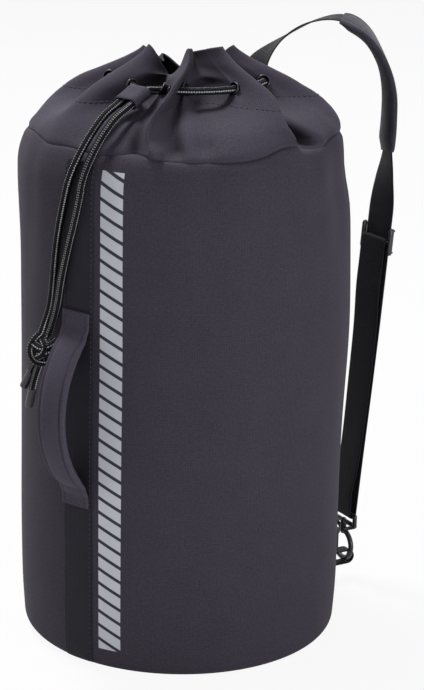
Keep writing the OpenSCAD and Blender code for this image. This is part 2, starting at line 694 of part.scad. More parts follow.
// Sprung gate
module hook_gate() {
  color("#222026") on_hook() difference() {
    union() {
      translate(pivot) rotate([90, 0, 0]) cylinder(r = eye_r, h = 2 * eye_half, center = true);
      translate([pivot[0] - 0.4, 0, -hook_r * 0.62]) cylinder(r = gate_r, h = hook_r * 0.62 + pivot[2]);
    }
    translate(pivot) rotate([90, 0, 0]) cylinder(r = pin_r + 0.2, h = 30, center = true);
  }
}
module hook_pin() {
  color("#8d8d92") on_hook() translate(pivot) rotate([90, 0, 0])
    cylinder(r = pin_r, h = 2 * (eye_half + seat + 1.8), center = true);
}
// Webbing loop in the base seam, with its sewn foot
loop_end = bag_r + hook_out + 2;
loop_shift = 2.5;
module base_loop() {
  color("#212025") {
    bag_strip(loop_at, loop_w + 6, seat, seat + loop_t, base_round / 3, loop_z + loop_h + 16);
    radial(loop_at) translate([0, 0, loop_shift]) linear_extrude(loop_w, center = true)
      translate([0, loop_z + loop_h / 2]) difference() {
        union() {
          translate([bag_r + seat + loop_t / 2, -loop_h / 2 - loop_t])
            square([loop_end - bag_r - seat - loop_t / 2, loop_h + 2 * loop_t]);
          translate([loop_end, 0]) circle(r = loop_h / 2 + loop_t);
        }
        translate([bag_r - 20, -loop_h / 2]) square([loop_end - bag_r + 20, loop_h]);
        translate([loop_end, 0]) circle(r = loop_h / 2);
      }
  }
}

body_panel();
base_panel();
base_binding();
yoke_binding();
collar_panel();
collar_hem();
eyelets();
eyelet_washers();
side_band();
handle_top_tab();
handle_bottom_tab();
handle_cover();
handle_core();
cord_keeper();
drawcord_neck();
drawcord_left();
drawcord_right();
drawcord_knot();
drawcord_tails();
cord_tips();
strap_anchor();
strap_upper_webbing();
pad_face();
pad_foam();
pad_lining();
strap_lower_webbing();
strap_return_webbing();
strap_end_loop();
strap_slider();
snap_hook();
hook_gate();
hook_pin();
base_loop();
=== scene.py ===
import math
import bpy
import numpy as np
from mathutils import Matrix, Vector, noise


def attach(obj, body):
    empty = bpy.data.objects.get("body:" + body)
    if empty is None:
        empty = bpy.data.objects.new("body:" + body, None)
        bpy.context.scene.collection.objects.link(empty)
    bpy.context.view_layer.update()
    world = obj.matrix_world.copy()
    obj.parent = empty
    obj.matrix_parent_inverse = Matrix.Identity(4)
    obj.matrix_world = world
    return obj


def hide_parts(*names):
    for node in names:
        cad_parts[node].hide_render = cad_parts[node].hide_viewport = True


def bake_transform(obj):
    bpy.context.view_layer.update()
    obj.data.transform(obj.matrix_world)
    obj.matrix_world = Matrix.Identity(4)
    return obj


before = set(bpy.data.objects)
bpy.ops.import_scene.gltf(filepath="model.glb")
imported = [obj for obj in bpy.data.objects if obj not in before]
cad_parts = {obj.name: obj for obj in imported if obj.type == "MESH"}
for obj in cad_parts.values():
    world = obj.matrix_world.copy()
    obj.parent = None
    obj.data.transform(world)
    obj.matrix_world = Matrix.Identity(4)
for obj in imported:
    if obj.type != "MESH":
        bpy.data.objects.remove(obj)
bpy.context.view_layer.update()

# Camera: a long lens above the collar's height, 38 degrees round the bag from the handle.
# It looks down by 17 degrees and is rolled by about one degree.
front_at, camera_back, camera_up = 38, 2.4416, 1.081
yaw, pitch, roll, round_bag = 0.0129, 0.3035, 0.0206, math.radians(front_at)
ahead = Vector((math.sin(yaw) * math.cos(pitch), math.cos(yaw) * math.cos(pitch), -math.sin(pitch)))
right = Vector((math.cos(yaw), -math.sin(yaw), 0))
over = right.cross(ahead)
right, over = (math.cos(roll) * right + math.sin(roll) * over,
               math.cos(roll) * over - math.sin(roll) * right)
lens = bpy.data.cameras.new("camera")
lens.lens, lens.sensor_width = 122.6, 36
camera = bpy.data.objects.new("camera", lens)
bpy.context.collection.objects.link(camera)
camera.matrix_world = (Matrix.Rotation(round_bag, 4, "Z") @ Matrix.Translation((0, -camera_back, camera_up))
                       @ Matrix((right, over, -ahead)).transposed().to_4x4())
bpy.context.scene.camera = camera

# Studio: a pale floor that keeps the bag's shadow, a white surround, and large soft lamps.
# The surround and most of the floor's white are for the eye and for reflections only.
def linear(code):
    """An sRGB hex colour as linear light."""
    parts = [int(code[i:i + 2], 16) / 255 for i in (1, 3, 5)]
    return tuple(c / 12.92 if c <= 0.04045 else ((c + 0.055) / 1.055) ** 2.4 for c in parts) + (1,)

def put(tree, kind, settings=(), **links):
    """Adds a node, sets its values and inputs, and links inputs by name, or by number as in_0."""
    made = tree.nodes.new(kind)
    for key, value in dict(settings).items():
        if isinstance(key, int) or key in made.inputs:
            made.inputs[key].default_value = value
        else:
            setattr(made, key, value)
    for key, socket in links.items():
        name = int(key[3:]) if key.startswith("in_") else key.replace("_", " ")
        tree.links.new(socket, made.inputs[name])
    return made

def seen_rays(tree):
    """1 for a ray that the eye, gloss or glass sends out, 0 for the light that falls on the bag."""
    rays = put(tree, "ShaderNodeLightPath")
    seen = put(tree, "ShaderNodeMath", {"operation": "ADD"},
               in_0=rays.outputs["Is Camera Ray"], in_1=rays.outputs["Is Glossy Ray"])
    return put(tree, "ShaderNodeMath", {"operation": "ADD", "use_clamp": True},
               in_0=seen.outputs[0], in_1=rays.outputs["Is Transmission Ray"]).outputs[0]

def in_scene(name, points, faces):
    """A smooth mesh over points in metres, as an object in the scene."""
    mesh = bpy.data.meshes.new(name)
    mesh.from_pydata(points, [], faces)
    mesh.shade_smooth()
    made = bpy.data.objects.new(name, mesh)
    bpy.context.collection.objects.link(made)
    return made

bpy.context.scene.view_settings.view_transform = "Standard"
world = bpy.data.worlds.new("studio")
bpy.context.scene.world = world
world.use_nodes = True
tree = world.node_tree
tree.nodes.clear()
lit = put(tree, "ShaderNodeBackground", {"Color": (1, 1, 1, 1), "Strength": 0.15})
white = put(tree, "ShaderNodeBackground", {"Color": (1, 1, 1, 1), "Strength": 1})
both = put(tree, "ShaderNodeMixShader", {}, in_0=seen_rays(tree), in_1=lit.outputs[0], in_2=white.outputs[0])
put(tree, "ShaderNodeOutputWorld", {}, Surface=both.outputs[0])

# Matt studio paper: nearly all of it shows as white, and the rest keeps the shadow.
floor = in_scene("floor", [(-9, -9, 0), (9, -9, 0), (9, 9, 0), (-9, 9, 0)], [(0, 1, 2, 3)])
paper = bpy.data.materials.new("studio_paper")
paper.use_nodes = True
tree = paper.node_tree
tree.nodes.clear()
pale = put(tree, "ShaderNodeMath", {"operation": "MULTIPLY", 1: 0.92}, in_0=seen_rays(tree))
matt = put(tree, "ShaderNodeBsdfDiffuse", {"Color": (0.7, 0.7, 0.7, 1)})
glow = put(tree, "ShaderNodeEmission", {"Color": (1, 1, 1, 1), "Strength": 1})
both = put(tree, "ShaderNodeMixShader", {}, in_0=pale.outputs[0], in_1=matt.outputs[0], in_2=glow.outputs[0])
put(tree, "ShaderNodeOutputMaterial", {}, Surface=both.outputs[0])
floor.data.materials.append(paper)

lamps_aim = Vector((0, 0, 0.35))
for name, place, size, power in (
        ("key_lamp", (3.5, -0.5, 0.8), 1.2, 66),
        ("front_lamp", (0.9, -1.7, 2.6), 0.8, 7),
        ("side_lamp", (-2.4, -2.6, 0.7), 1.0, 13),
        ("top_lamp", (-1.2, 0.1, 3.2), 0.8, 108),
        ("back_lamp", (-2.2, 2.4, 2.2), 2.0, 24)):
    lamp = bpy.data.lights.new(name, "AREA")
    lamp.energy, lamp.size = power, size
    holder = bpy.data.objects.new(name, lamp)
    bpy.context.collection.objects.link(holder)
    holder.location = place
    holder.rotation_euler = (lamps_aim - Vector(place)).to_track_quat("-Z", "Y").to_euler()

# Body tube: heavy polyester oxford, sewn into a round tube with a rounded lower edge and a soft
# shoulder. It is a skin that sags and bulges a little. Lengths in the shapes are millimetres.
bag_r, bag_h, base_round, shoulder_r, shoulder_h = 175, 556, 12, 80, 36
seam_r = bag_r - shoulder_r + math.sqrt(shoulder_r ** 2 - shoulder_h ** 2)

def skin(name, rows, wrap=False, ends=False):
    """A mesh over rows of points in millimetres, with a map in metres across and along the rows."""
    n, m = len(rows), len(rows[0])
    grid = np.array([[tuple(p) for p in row] for row in rows], float) * 0.001
    cells = [(r, c) for r in range(n - 1) for c in range(m if wrap else m - 1)]
    faces = [(r * m + c, r * m + (c + 1) % m, (r + 1) * m + (c + 1) % m, (r + 1) * m + c) for r, c in cells]
    spots = [(r + dr, c + dc) for r, c in cells for dr, dc in ((0, 0), (0, 1), (1, 1), (1, 0))]
    if ends:
        faces += [tuple(range(m - 1, -1, -1)), tuple((n - 1) * m + c for c in range(m))]
        spots += [(0, c) for c in range(m - 1, -1, -1)] + [(n - 1, c) for c in range(m)]
    made = in_scene(name, grid.reshape(-1, 3).tolist(), faces)
    step = np.linalg.norm(np.roll(grid, -1, 1) - grid, axis=2).mean(0)
    across = np.concatenate([[0], np.cumsum(step)])
    along = np.concatenate([[0], np.cumsum(np.linalg.norm(np.diff(grid, axis=0), axis=2).mean(1))])
    layer = made.data.uv_layers.new(name="map")
    layer.data.foreach_set("uv", [x for r, c in spots for x in (across[c], along[r])])
    if ends:
        made.data.set_sharp_from_angle(angle=math.radians(70))
    return made

def thicken(piece, thickness, side):
    """Gives a skin the cloth's thickness in metres, inward for side -1 and outward for 1."""
    layer = piece.modifiers.new("cloth_thickness", "SOLIDIFY")
    layer.thickness, layer.offset = thickness, side

def out_dir(angle):
    """Away from the bag's middle line. Angles are degrees round the bag from the handle."""
    return Vector((math.sin(math.radians(angle)), -math.cos(math.radians(angle)), 0))

def round_dir(angle):
    """Round the bag, towards larger angles."""
    return Vector((math.cos(math.radians(angle)), math.sin(math.radians(angle)), 0))

def ease(t):
    """A smooth step from 0 to 1."""
    t = min(1, max(0, t))
    return t * t * (3 - 2 * t)

def bell(x):
    """1 at 0, falling off smoothly to both sides."""
    return math.exp(-x * x)

def outline(z):
    """Radius of the bag at a height."""
    if z < base_round:
        return bag_r - base_round + math.sqrt(max(0, base_round ** 2 - (base_round - z) ** 2))
    if z < bag_h - shoulder_h:
        return bag_r
    return bag_r - shoulder_r + math.sqrt(shoulder_r ** 2 - (z - bag_h + shoulder_h) ** 2)

# Slow bulges and dents: how far out, at which angle, how wide, at which height, how tall.
bulges = [(5.5, 125, 45, 360, 130), (-8, 120, 32, 524, 34), (-4, 90, 9, 552, 14),
          (3, -52, 40, 515, 55), (1.8, -52, 40, 120, 90)]

def sag(angle, z):
    """How far the cloth stands out or in: slow bulges, soft folds under the yoke, a dent by the strap."""
    d = out_dir(angle)
    slow = 1.6 * noise.noise(Vector((d.x * 1.15, d.y * 1.15, z / 210 + 4.2)))
    quick = 0.6 * noise.noise(Vector((d.x * 3.1, d.y * 3.1, z / 90 + 1.7)))
    folds = 3.2 * noise.noise(Vector((d.x * 5.5, d.y * 5.5, z / 260))) * ease((z - 330) / 190)
    shape = sum(out * bell(((angle - at + 180) % 360 - 180) / wide) * bell((z - up) / tall)
                for out, at, wide, up, tall in bulges)
    return (slow + quick + folds + shape) * ease(z / 40) - 2.5 * bell(z / 30)

# Collar folds: the cloth over the shoulder is gathered into eight pleats. The next functions
# give a point of it from the pleat, the place on the pleat from crest to crest, and the height.
collar_h, eyelet_up, mouth_crest, mouth_valley, mouth_fall = 94, 56, 48, 32, 0.28
# For each crest its angle, how far it leans at the yoke seam and how sharp it is; for each pleat
# where the cord passes, as shares of its width, and how far the rim dips in its valley. drawn_in
# gives shares: of the height, and of how far crests and valleys are drawn in there.
crests = [-19, 42, 82, 125, 168, 210, 252, 296, 341]
leans = [0, -15, -8, 0, 0, 0, 0, 0, 0]
crest_edge = [1.25, 2.2, 1.5, 1.5, 1.3, 1.3, 1.3, 1.3, 1.25]
passes = [(0.25, 0.75), (0.2, 0.76)] + [(0.25, 0.75)] * 6
rim_dip = [38, 10, 16, 14, 10, 8, 10, 14]
drawn_in = [(0, 0, 0), (0.15, 0.058, 0.085), (0.3, 0.147, 0.27), (0.45, 0.27, 0.7),
            (0.6, 0.434, 0.88), (0.745, 0.662, 0.896), (0.87, 0.865, 0.94), (1, 1, 1)]

def between(a, b, c, d, t):
    """A point from b to c on the smooth line through a, b, c and d."""
    return 0.5 * (2 * b + (c - a) * t + (2 * a - 5 * b + 4 * c - d) * t * t
                  + (3 * b - a - 3 * c + d) * t ** 3)

def gathered(x, k):
    """How far the crests (k = 1) or the valleys (k = 2) are drawn in at a share of the height."""
    i = 0
    while i < len(drawn_in) - 2 and x > drawn_in[i + 1][0]:
        i += 1
    t = (x - drawn_in[i][0]) / (drawn_in[i + 1][0] - drawn_in[i][0])
    at = lambda j: drawn_in[min(len(drawn_in) - 1, max(0, j))][k]
    return between(at(i - 1), at(i), at(i + 1), at(i + 2), t)

def pleat_r(h):
    """Radius of the crests and of the valleys at a height above the yoke seam."""
    return (seam_r - (seam_r - mouth_crest) * gathered(h / collar_h, 1),
            seam_r - (seam_r - mouth_valley) * gathered(h / collar_h, 2))

def crest_at(i, h):
    """Angle of a crest: some lean over, most of all at the yoke seam."""
    return crests[i] + leans[i] * ease((collar_h - h) / (0.7 * collar_h))

def fold_angle(i, u, h):
    """Angle of a place on a pleat; the cord passes through the cloth at u = 0.25 and 0.75."""
    a, b = crest_at(i, h), crest_at(i + 1, h)
    p, q = passes[i]
    if u < 0.25:
        s = 4 * u * p
    elif u < 0.75:
        s = p + 2 * (u - 0.25) * (q - p)
    else:
        s = q + 4 * (u - 0.75) * (1 - q)
    return a + s * (b - a)

def rise(angle):
    """Share of its full height that the collar reaches: it falls towards the far side."""
    return 1 - mouth_fall * ease((abs((angle - front_at + 540) % 360 - 180) - 60) / 120)

# Marks that the gathers press in: how far out, at which angle, how wide. The first two lists
# count from the ridge of the rolled pleat and of the sharp pleat, the third from the handle.
roll_marks = [(11, 0, 2.2), (-15, 6.5, 3.6), (-9, -7, 3.4)]
sharp_marks = [(6, 0, 3), (-34, 9, 5)]
creases = [(-11, 44.5, 3.2), (-4, -4, 5), (3, 125, 12)]
roll_falls, sharp_falls, recess, curtain_full = -11, 15, 20, 7

def ridges(h):
    """Angles of the two pleats that show: a rolled one on the handle side, and a sharp one."""
    return crest_at(1, h), crest_at(2, h) + 9 * (1 - ease(h / 28))

def relief(a, h):
    """Creases that the gathers press into the front of the collar: the rolled pleat, a hollow on
    each side of it, a crease under the cord, and the sharp pleat with a deep pocket beyond it."""
    roll, sharp = ridges(h)
    pressed = lambda marks, start: sum(out * bell((a - start - at) / wide) for out, at, wide in marks)
    made = pressed(roll_marks, roll) + pressed(sharp_marks, sharp)
    made *= ease(h / 9) * (1 - ease((h - 48) / 26))
    return made + pressed(creases, 0) * ease(h / 14) * (1 - ease((h - 40) / 14))

def lie_over(a, r, h):
    """How far the two pleats' ridges fall over sideways, so that each one hides its own foot."""
    roll, sharp = ridges(h)
    by_roll, by_sharp = r * math.radians(a - roll), r * math.radians(a - sharp)
    rolled = roll_falls * bell(by_roll / (4.5 if by_roll < 0 else 18)) * (1 - 0.7 * ease((h - 60) / 26))
    creased = sharp_falls * bell(by_sharp / (26 if by_sharp < 0 else 7)) * (1 - 0.8 * ease((h - 50) / 30))
    return ease((h - 6) / 18) * (rolled + creased)

def fold(i, u, h):
    """A point of the collar. The front valley is a recess at the mouth, and just above the cord its
    cloth bulges a little, like a curtain."""
    a = fold_angle(i, u, h)
    top, low = pleat_r(h)
    c = math.cos(2 * math.pi * u)
    valley = (1 - c) / 2
    edge = crest_edge[i] if u < 0.5 else crest_edge[i + 1]
    c = c ** edge if c > 0 else -abs(c) ** 0.85
    r = (top + low) / 2 + (top - low) / 2 * c + relief(a, h)
    if i == 1:
        r -= recess * ease((h - 58) / 16) * valley
    r += curtain_full * ease((h - 60) / 4) * (1 - ease((h - 68) / 18)) * bell((a - 58) / 9)
    dip = rim_dip[i] * valley * max(0, (h - eyelet_up - 8) / (collar_h - eyelet_up - 8)) ** 1.3
    return r * out_dir(a) + lie_over(a, r, h) * round_dir(a) + Vector((0, 0, bag_h + h * rise(a) - dip))

# Where the pleats pull up the yoke seam: at which angle, how far, how wide.
pulls = [(-34, 4, 10), (-8, 3, 8), (19, 5, 9), (77, 9.5, 10), (112, 6, 9), (168, 4, 14), (252, 4, 14)]

def yoke_up(angle):
    return sum(up * bell(((angle - at + 180) % 360 - 180) / wide) for at, up, wide in pulls)

# The columns of cloth are three times as close at the two ridges as elsewhere.
per_pleat = 24
close = [k / (3 * per_pleat) for k in range(3 * per_pleat)]
columns = [(i, u) for i in range(8) for k, u in enumerate(close)
           if k % 3 == 0 or i in (1, 2) and u < 0.3 or i in (0, 1) and u > 0.7]

def surface_at(angle, z, out=0):
    """A point at an angle and a height on the tube, standing out from its cloth."""
    return (outline(z) + sag(angle, z) + out) * out_dir(angle) + Vector((0, 0, z))

def bag_point(i, u, z, out=0):
    """A point of the bag's outer face, below or a little above the CAD's yoke seam."""
    a = fold_angle(i, u, 0)
    if z <= bag_h:
        return surface_at(a, z, out)
    return fold(i, u, z - bag_h) + (out + sag(a, bag_h)) * out_dir(a)

rows = []
for t in range(0, 90, 9):
    rows.append([bag_point(i, u, base_round * (1 - math.cos(math.radians(t)))) for i, u in columns])
for z in np.linspace(base_round, bag_h - shoulder_h, 36):
    rows.append([bag_point(i, u, z) for i, u in columns])
for k in range(1, 13):
    row = []
    for i, u in columns:
        a = fold_angle(i, u, 0)
        z = bag_h - shoulder_h + (shoulder_h + yoke_up(a)) * k / 12
        row.append(bag_point(i, u, z, -1.8 * ease((k - 10) / 2)))
    rows.append(row)
body = skin("body_cloth", rows, wrap=True)
thicken(body, 0.0014, -1)

def material(name, settings):
    """A new material, its nodes and its shader, with the values that are the same all over."""
    made = bpy.data.materials.new(name)
    made.use_nodes = True
    shader = made.node_tree.nodes["Principled BSDF"]
    for key, value in settings.items():
        shader.inputs[key].default_value = value
    return made, made.node_tree, shader

def woven(name, colour, pitch, rough, sheen, contrast, fold_shade=0):
    """Woven polyester: dull, with threads crossing at a pitch in metres, clouds of about 45 mm and
    slubs of about 3 mm, and a soft sheen. Where the cloth's own folds within 80 mm leave little
    room for light, painted shade darkens its colour by up to fold_shade."""
    made, tree, shader = material(name, {"Roughness": rough, "Specular IOR Level": 0.12,
                                         "Sheen Weight": sheen, "Sheen Roughness": 0.45})
    place = put(tree, "ShaderNodeTexCoord").outputs["UV"]
    # The bands of a wave texture are 0.314 / Scale apart.
    warp, weft = [put(tree, "ShaderNodeTexWave", {"bands_direction": way, "Scale": 0.314 / pitch,
                                                  "Distortion": 0.6, "Detail": 1}, Vector=place) for way in "XY"]
    cross = put(tree, "ShaderNodeMath", {"operation": "MULTIPLY"}, in_0=warp.outputs[1], in_1=weft.outputs[1])
    cloud = put(tree, "ShaderNodeTexNoise", {"Scale": 22, "Detail": 6, "Roughness": 0.65}, Vector=place)
    slub = put(tree, "ShaderNodeTexNoise", {"Scale": 380, "Detail": 3, "Roughness": 0.7}, Vector=place)
    mixed = put(tree, "ShaderNodeMath", {"operation": "MULTIPLY_ADD", 1: 0.3},
                in_0=cloud.outputs[0], in_2=slub.outputs[0])
    tone = put(tree, "ShaderNodeMapRange", {"From Min": 0.45, "From Max": 0.85, "To Min": 1 - contrast,
                                            "To Max": 1 + contrast}, Value=mixed.outputs[0])
    thread = put(tree, "ShaderNodeMapRange", {"To Min": 0.82, "To Max": 1.22}, Value=cross.outputs[0])
    tone = put(tree, "ShaderNodeMath", {"operation": "MULTIPLY"}, in_0=tone.outputs[0], in_1=thread.outputs[0])
    # Painted shade: ambient occlusion from the cloth's own folds multiplies the colour down in creases and
    # recesses.
    if fold_shade:
        room = put(tree, "ShaderNodeAmbientOcclusion", {"samples": 16, "only_local": True, "Distance": 0.08})
        deep = put(tree, "ShaderNodeMapRange", {"From Min": 0.35, "From Max": 0.96, "To Min": 1 - fold_shade},
                   Value=room.outputs["AO"])
        tone = put(tree, "ShaderNodeMath", {"operation": "MULTIPLY"}, in_0=tone.outputs[0], in_1=deep.outputs[0])
    shade = put(tree, "ShaderNodeMix", {"data_type": "RGBA", "blend_type": "MULTIPLY", 0: 1.0, 6: linear(colour)},
                in_7=tone.outputs[0])
    tree.links.new(shade.outputs[2], shader.inputs["Base Color"])
    bump = put(tree, "ShaderNodeBump", {"Strength": 0.22, "Distance": 0.0006}, Height=cross.outputs[0])
    tree.links.new(bump.outputs[0], shader.inputs["Normal"])
    return made

# Oxford weave is about 0.6 mm; it is drawn at 1.7 mm so that it shows.
oxford = woven("polyester_oxford", "#3e3a45", 0.0017, 0.85, 0.03, 0.22)

# Transfer: a silver reflective film of plain slanted bars, pressed on beside the band. It is pale
# and half glossy. Sizes in metres: across and up the tube, each bar, and the film's soft edge.
film_across, film_up, film_bar, bar_pitch, bar_slant, film_edge = (
    (0.027, 0.053), (0.024, 0.544), (0.002, 0.014), 0.016, 0.45, 0.0003)
tree, shader = oxford.node_tree, oxford.node_tree.nodes["Principled BSDF"]
split = put(tree, "ShaderNodeSeparateXYZ", {}, Vector=put(tree, "ShaderNodeTexCoord").outputs["Object"])
back_y = put(tree, "ShaderNodeMath", {"operation": "MULTIPLY", 1: -1}, in_0=split.outputs[1])
turn = put(tree, "ShaderNodeMath", {"operation": "ARCTAN2"}, in_0=split.outputs[0], in_1=back_y.outputs[0])
arc = put(tree, "ShaderNodeMath", {"operation": "MULTIPLY", 1: bag_r * 0.001}, in_0=turn.outputs[0])
slant = put(tree, "ShaderNodeMath", {"operation": "MULTIPLY_ADD", 1: bar_slant},
            in_0=arc.outputs[0], in_2=split.outputs[2])
bar = put(tree, "ShaderNodeMath", {"operation": "FLOORED_MODULO", 1: bar_pitch}, in_0=slant.outputs[0])
mask = None
for value, (low, high) in ((arc.outputs[0], film_across), (split.outputs[2], film_up), (bar.outputs[0], film_bar)):
    mid, half = (low + high) / 2, (high - low) / 2
    off = put(tree, "ShaderNodeMath", {"operation": "SUBTRACT", 1: mid}, in_0=value)
    off = put(tree, "ShaderNodeMath", {"operation": "ABSOLUTE"}, in_0=off.outputs[0])
    inside = put(tree, "ShaderNodeMapRange", {"From Min": half + film_edge, "From Max": half - film_edge},
                 Value=off.outputs[0]).outputs[0]
    mask = put(tree, "ShaderNodeMath", {"operation": "MULTIPLY"}, in_0=mask,
               in_1=inside).outputs[0] if mask else inside
cloth_colour = shader.inputs["Base Color"].links[0].from_socket
film = put(tree, "ShaderNodeMix", {"data_type": "RGBA", 7: linear("#c3c5cf")}, in_0=mask, in_6=cloth_colour)
tree.links.new(film.outputs[2], shader.inputs["Base Color"])
gloss = put(tree, "ShaderNodeMapRange", {"To Min": 0.85, "To Max": 0.5}, Value=mask)
tree.links.new(gloss.outputs[0], shader.inputs["Roughness"])
body.data.materials.append(oxford)
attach(body, "bag")
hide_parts("body_panel")

# Base: a disc of the same oxford, sewn into the lower edge with its seam turned inside.
# A tape binds the seam on the inside.
rows = []
flat_r = bag_r - base_round
for r in (flat_r + 0.5, flat_r - 1.5, flat_r - 4, 130, 95, 60, 30, 4):
    lift = 1.2 * bell((flat_r - r) / 2.2) + 0.4
    rows.append([(r * math.sin(math.radians(a)), -r * math.cos(math.radians(a)), lift)
                 for a in range(0, 360, 3)])
base = skin("base_cloth", rows, wrap=True)
thicken(base, 0.0014, 1)
base_oxford = woven("polyester_oxford_base", "#37343d", 0.0017, 0.85, 0.03, 0.12)
base.data.materials.append(base_oxford)
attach(base, "bag")
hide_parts("base_panel")

def ribbed(name, colour, rib, rough, sheen):
    """Woven webbing: dull, with ribs across its length at a pitch in metres, in a herringbone, and
    worn patches of about 17 mm."""
    made, tree, shader = material(name, {"Roughness": rough, "Specular IOR Level": 0.14,
                                         "Sheen Weight": sheen, "Sheen Roughness": 0.4})
    place = put(tree, "ShaderNodeTexCoord").outputs["UV"]
    split = put(tree, "ShaderNodeSeparateXYZ", {}, Vector=place)
    zigzag = put(tree, "ShaderNodeMath", {"operation": "PINGPONG", 1: 0.0032}, in_0=split.outputs[0])
    slant = put(tree, "ShaderNodeMath", {"operation": "ADD"}, in_0=zigzag.outputs[0], in_1=split.outputs[1])
    turns = put(tree, "ShaderNodeMath", {"operation": "MULTIPLY", 1: 2 * math.pi / rib}, in_0=slant.outputs[0])
    ridge = put(tree, "ShaderNodeMath", {"operation": "SINE"}, in_0=turns.outputs[0])
    cloud = put(tree, "ShaderNodeTexNoise", {"Scale": 60, "Detail": 4}, Vector=place)
    tone = put(tree, "ShaderNodeMapRange", {"From Min": -1, "From Max": 1, "To Min": 0.86, "To Max": 1.12},
               Value=ridge.outputs[0])
    wear = put(tree, "ShaderNodeMapRange", {"From Min": 0.3, "From Max": 0.7, "To Min": 0.9, "To Max": 1.1},
               Value=cloud.outputs[0])
    tone = put(tree, "ShaderNodeMath", {"operation": "MULTIPLY"}, in_0=tone.outputs[0], in_1=wear.outputs[0])
    shade = put(tree, "ShaderNodeMix", {"data_type": "RGBA", "blend_type": "MULTIPLY", 0: 1.0, 6: linear(colour)},
                in_7=tone.outputs[0])
    tree.links.new(shade.outputs[2], shader.inputs["Base Color"])
    bump = put(tree, "ShaderNodeBump", {"Strength": 0.3, "Distance": 0.0005}, Height=ridge.outputs[0])
    tree.links.new(bump.outputs[0], shader.inputs["Normal"])
    return made

# Tape has 1 mm ribs; they are drawn at 2 mm so that they show.
tape = ribbed("polyester_binding_tape", "#26252d", 0.002, 0.8, 0.02)

def ring_tape(name, profile, node):
    """A ring of tape inside the tube; it stays behind the cloth where the cloth is dented."""
    rows = [[(r + min(0, sag(a, z))) * out_dir(a) + Vector((0, 0, z)) for a in range(0, 360, 4)]
            for r, z in profile]
    made = skin(name, rows + rows[:1], wrap=True)
    made.data.materials.append(tape)
    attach(made, "bag")
    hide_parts(node)

ring_tape("base_seam_tape", [(flat_r - 11.6, 2.5), (flat_r, 2.5), (flat_r, 3.6),
                             (flat_r - 6, 4.2), (flat_r - 11.6, 3.4)], "base_binding")
ring_tape("yoke_seam_tape", [(outline(z) - off, z) for z, off in (
    (544.5, 2.6), (550, 2.6), (555.5, 2.6), (555.5, 3.6), (550, 4.1), (544.5, 3.7))][::-1], "yoke_binding")

# Side band: dark polyester webbing, 38 mm wide, sewn flat on the tube from the base to the yoke.
# A line of thread runs along each edge.
def curve(points, n):
    """A smooth line through points, with n steps between two of them."""
    made = []
    at = lambda j: Vector(points[min(len(points) - 1, max(0, j))])
    for i in range(len(points) - 1):
        made += [between(at(i - 1), at(i), at(i + 1), at(i + 2), k / n) for k in range(n)]
    return made + [Vector(points[-1])]

def sweep(name, path, sides, section, ends=True):
    """A closed section carried along a path; sides gives its first direction at each point."""
    rings = []
    path = [Vector(p) for p in path]
    for i, p in enumerate(path):
        t = (path[min(i + 1, len(path) - 1)] - path[max(i - 1, 0)]).normalized()
        w = (sides[i] - sides[i].dot(t) * t).normalized()
        n = t.cross(w)
        rings.append([p + x * w + y * n for x, y in (section(i) if callable(section) else section)])
    return skin(name, rings, wrap=True, ends=ends)

def flat_section(w, t):
    """Webbing's section: thin, with rounded selvedges and a slightly full face."""
    half = [(w / 2, 0), (w / 2 - 0.3 * t, 0.42 * t), (w / 2 - t, 0.5 * t), (w / 4, 0.5 * t), (0, 0.5 * t)]
    upper = half + [(-x, y) for x, y in half[-2::-1]]
    return upper + [(x, -y) for x, y in upper[-2:0:-1]]

def stitches(name, lines, long=3.4, gap=2.0, thick=0.5):
    """Rows of thread: each stitch is a small spindle that lies in the cloth."""
    spots, faces = [], []
    for line in lines:
        line = [Vector(p) for p in line]
        ends = np.concatenate([[0], np.cumsum([(b - a).length for a, b in zip(line, line[1:])])])
        at = lambda d: Vector([float(np.interp(d, ends, [p[k] for p in line])) for k in range(3)])
        d = gap
        while d + long < ends[-1]:
            a, b = at(d), at(d + long)
            t = (b - a).normalized()
            w = t.orthogonal().normalized()
            n = t.cross(w)
            base_i = len(spots)
            spots.append(a)
            for f in (0.22, 0.78):
                spots += [a.lerp(b, f) + thick * (math.cos(k * math.pi / 3) * w + math.sin(k * math.pi / 3) * n)
                          for k in range(6)]
            spots.append(b)
            for k in range(6):
                j = (k + 1) % 6
                faces += [(base_i, base_i + 1 + j, base_i + 1 + k),
                          (base_i + 1 + k, base_i + 1 + j, base_i + 7 + j, base_i + 7 + k),
                          (base_i + 7 + k, base_i + 7 + j, base_i + 13)]
            d += long + gap
    return in_scene(name, [tuple(p * 0.001) for p in spots], faces)

band_w, band_t = 38, 1.6
heights = [4.5, 6, 8, 11, 16, 24, 36] + list(np.linspace(50, 520, 40)) + [530, 540, 550]
rows = []
half = math.degrees(band_w / 2 / bag_r)
for z in heights:
    face = [surface_at(half * x, z, 0.4 + band_t * (1 - 0.6 * abs(x) ** 14)) for x in np.linspace(-1, 1, 17)]
    back = [surface_at(half * x, z, 0.2) for x in (1.0, 0.5, 0, -0.5, -1.0)]
    rows.append(face + back)
band = skin("side_band_webbing", rows, wrap=True, ends=True)
# Webbing has ribs of about 1.2 mm; they are drawn at 2.4 mm so that they show.
band_webbing = ribbed("polyester_webbing_band", "#24232b", 0.0024, 0.75, 0.03)
band.data.materials.append(band_webbing)
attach(band, "bag")
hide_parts("side_band")

def grained(name, dark, light, scale, detail, settings):
    """A material that wanders between two colours, in a grain of about 1 / scale metres."""
    made, tree, shader = material(name, settings)
    grain = put(tree, "ShaderNodeTexNoise", {"Scale": scale, "Detail": detail})
    tint = put(tree, "ShaderNodeMix", {"data_type": "RGBA", 6: linear(dark), 7: linear(light)},
               in_0=grain.outputs[0])
    tree.links.new(tint.outputs[2], shader.inputs["Base Color"])
    return made, tree, shader, grain.outputs[0]

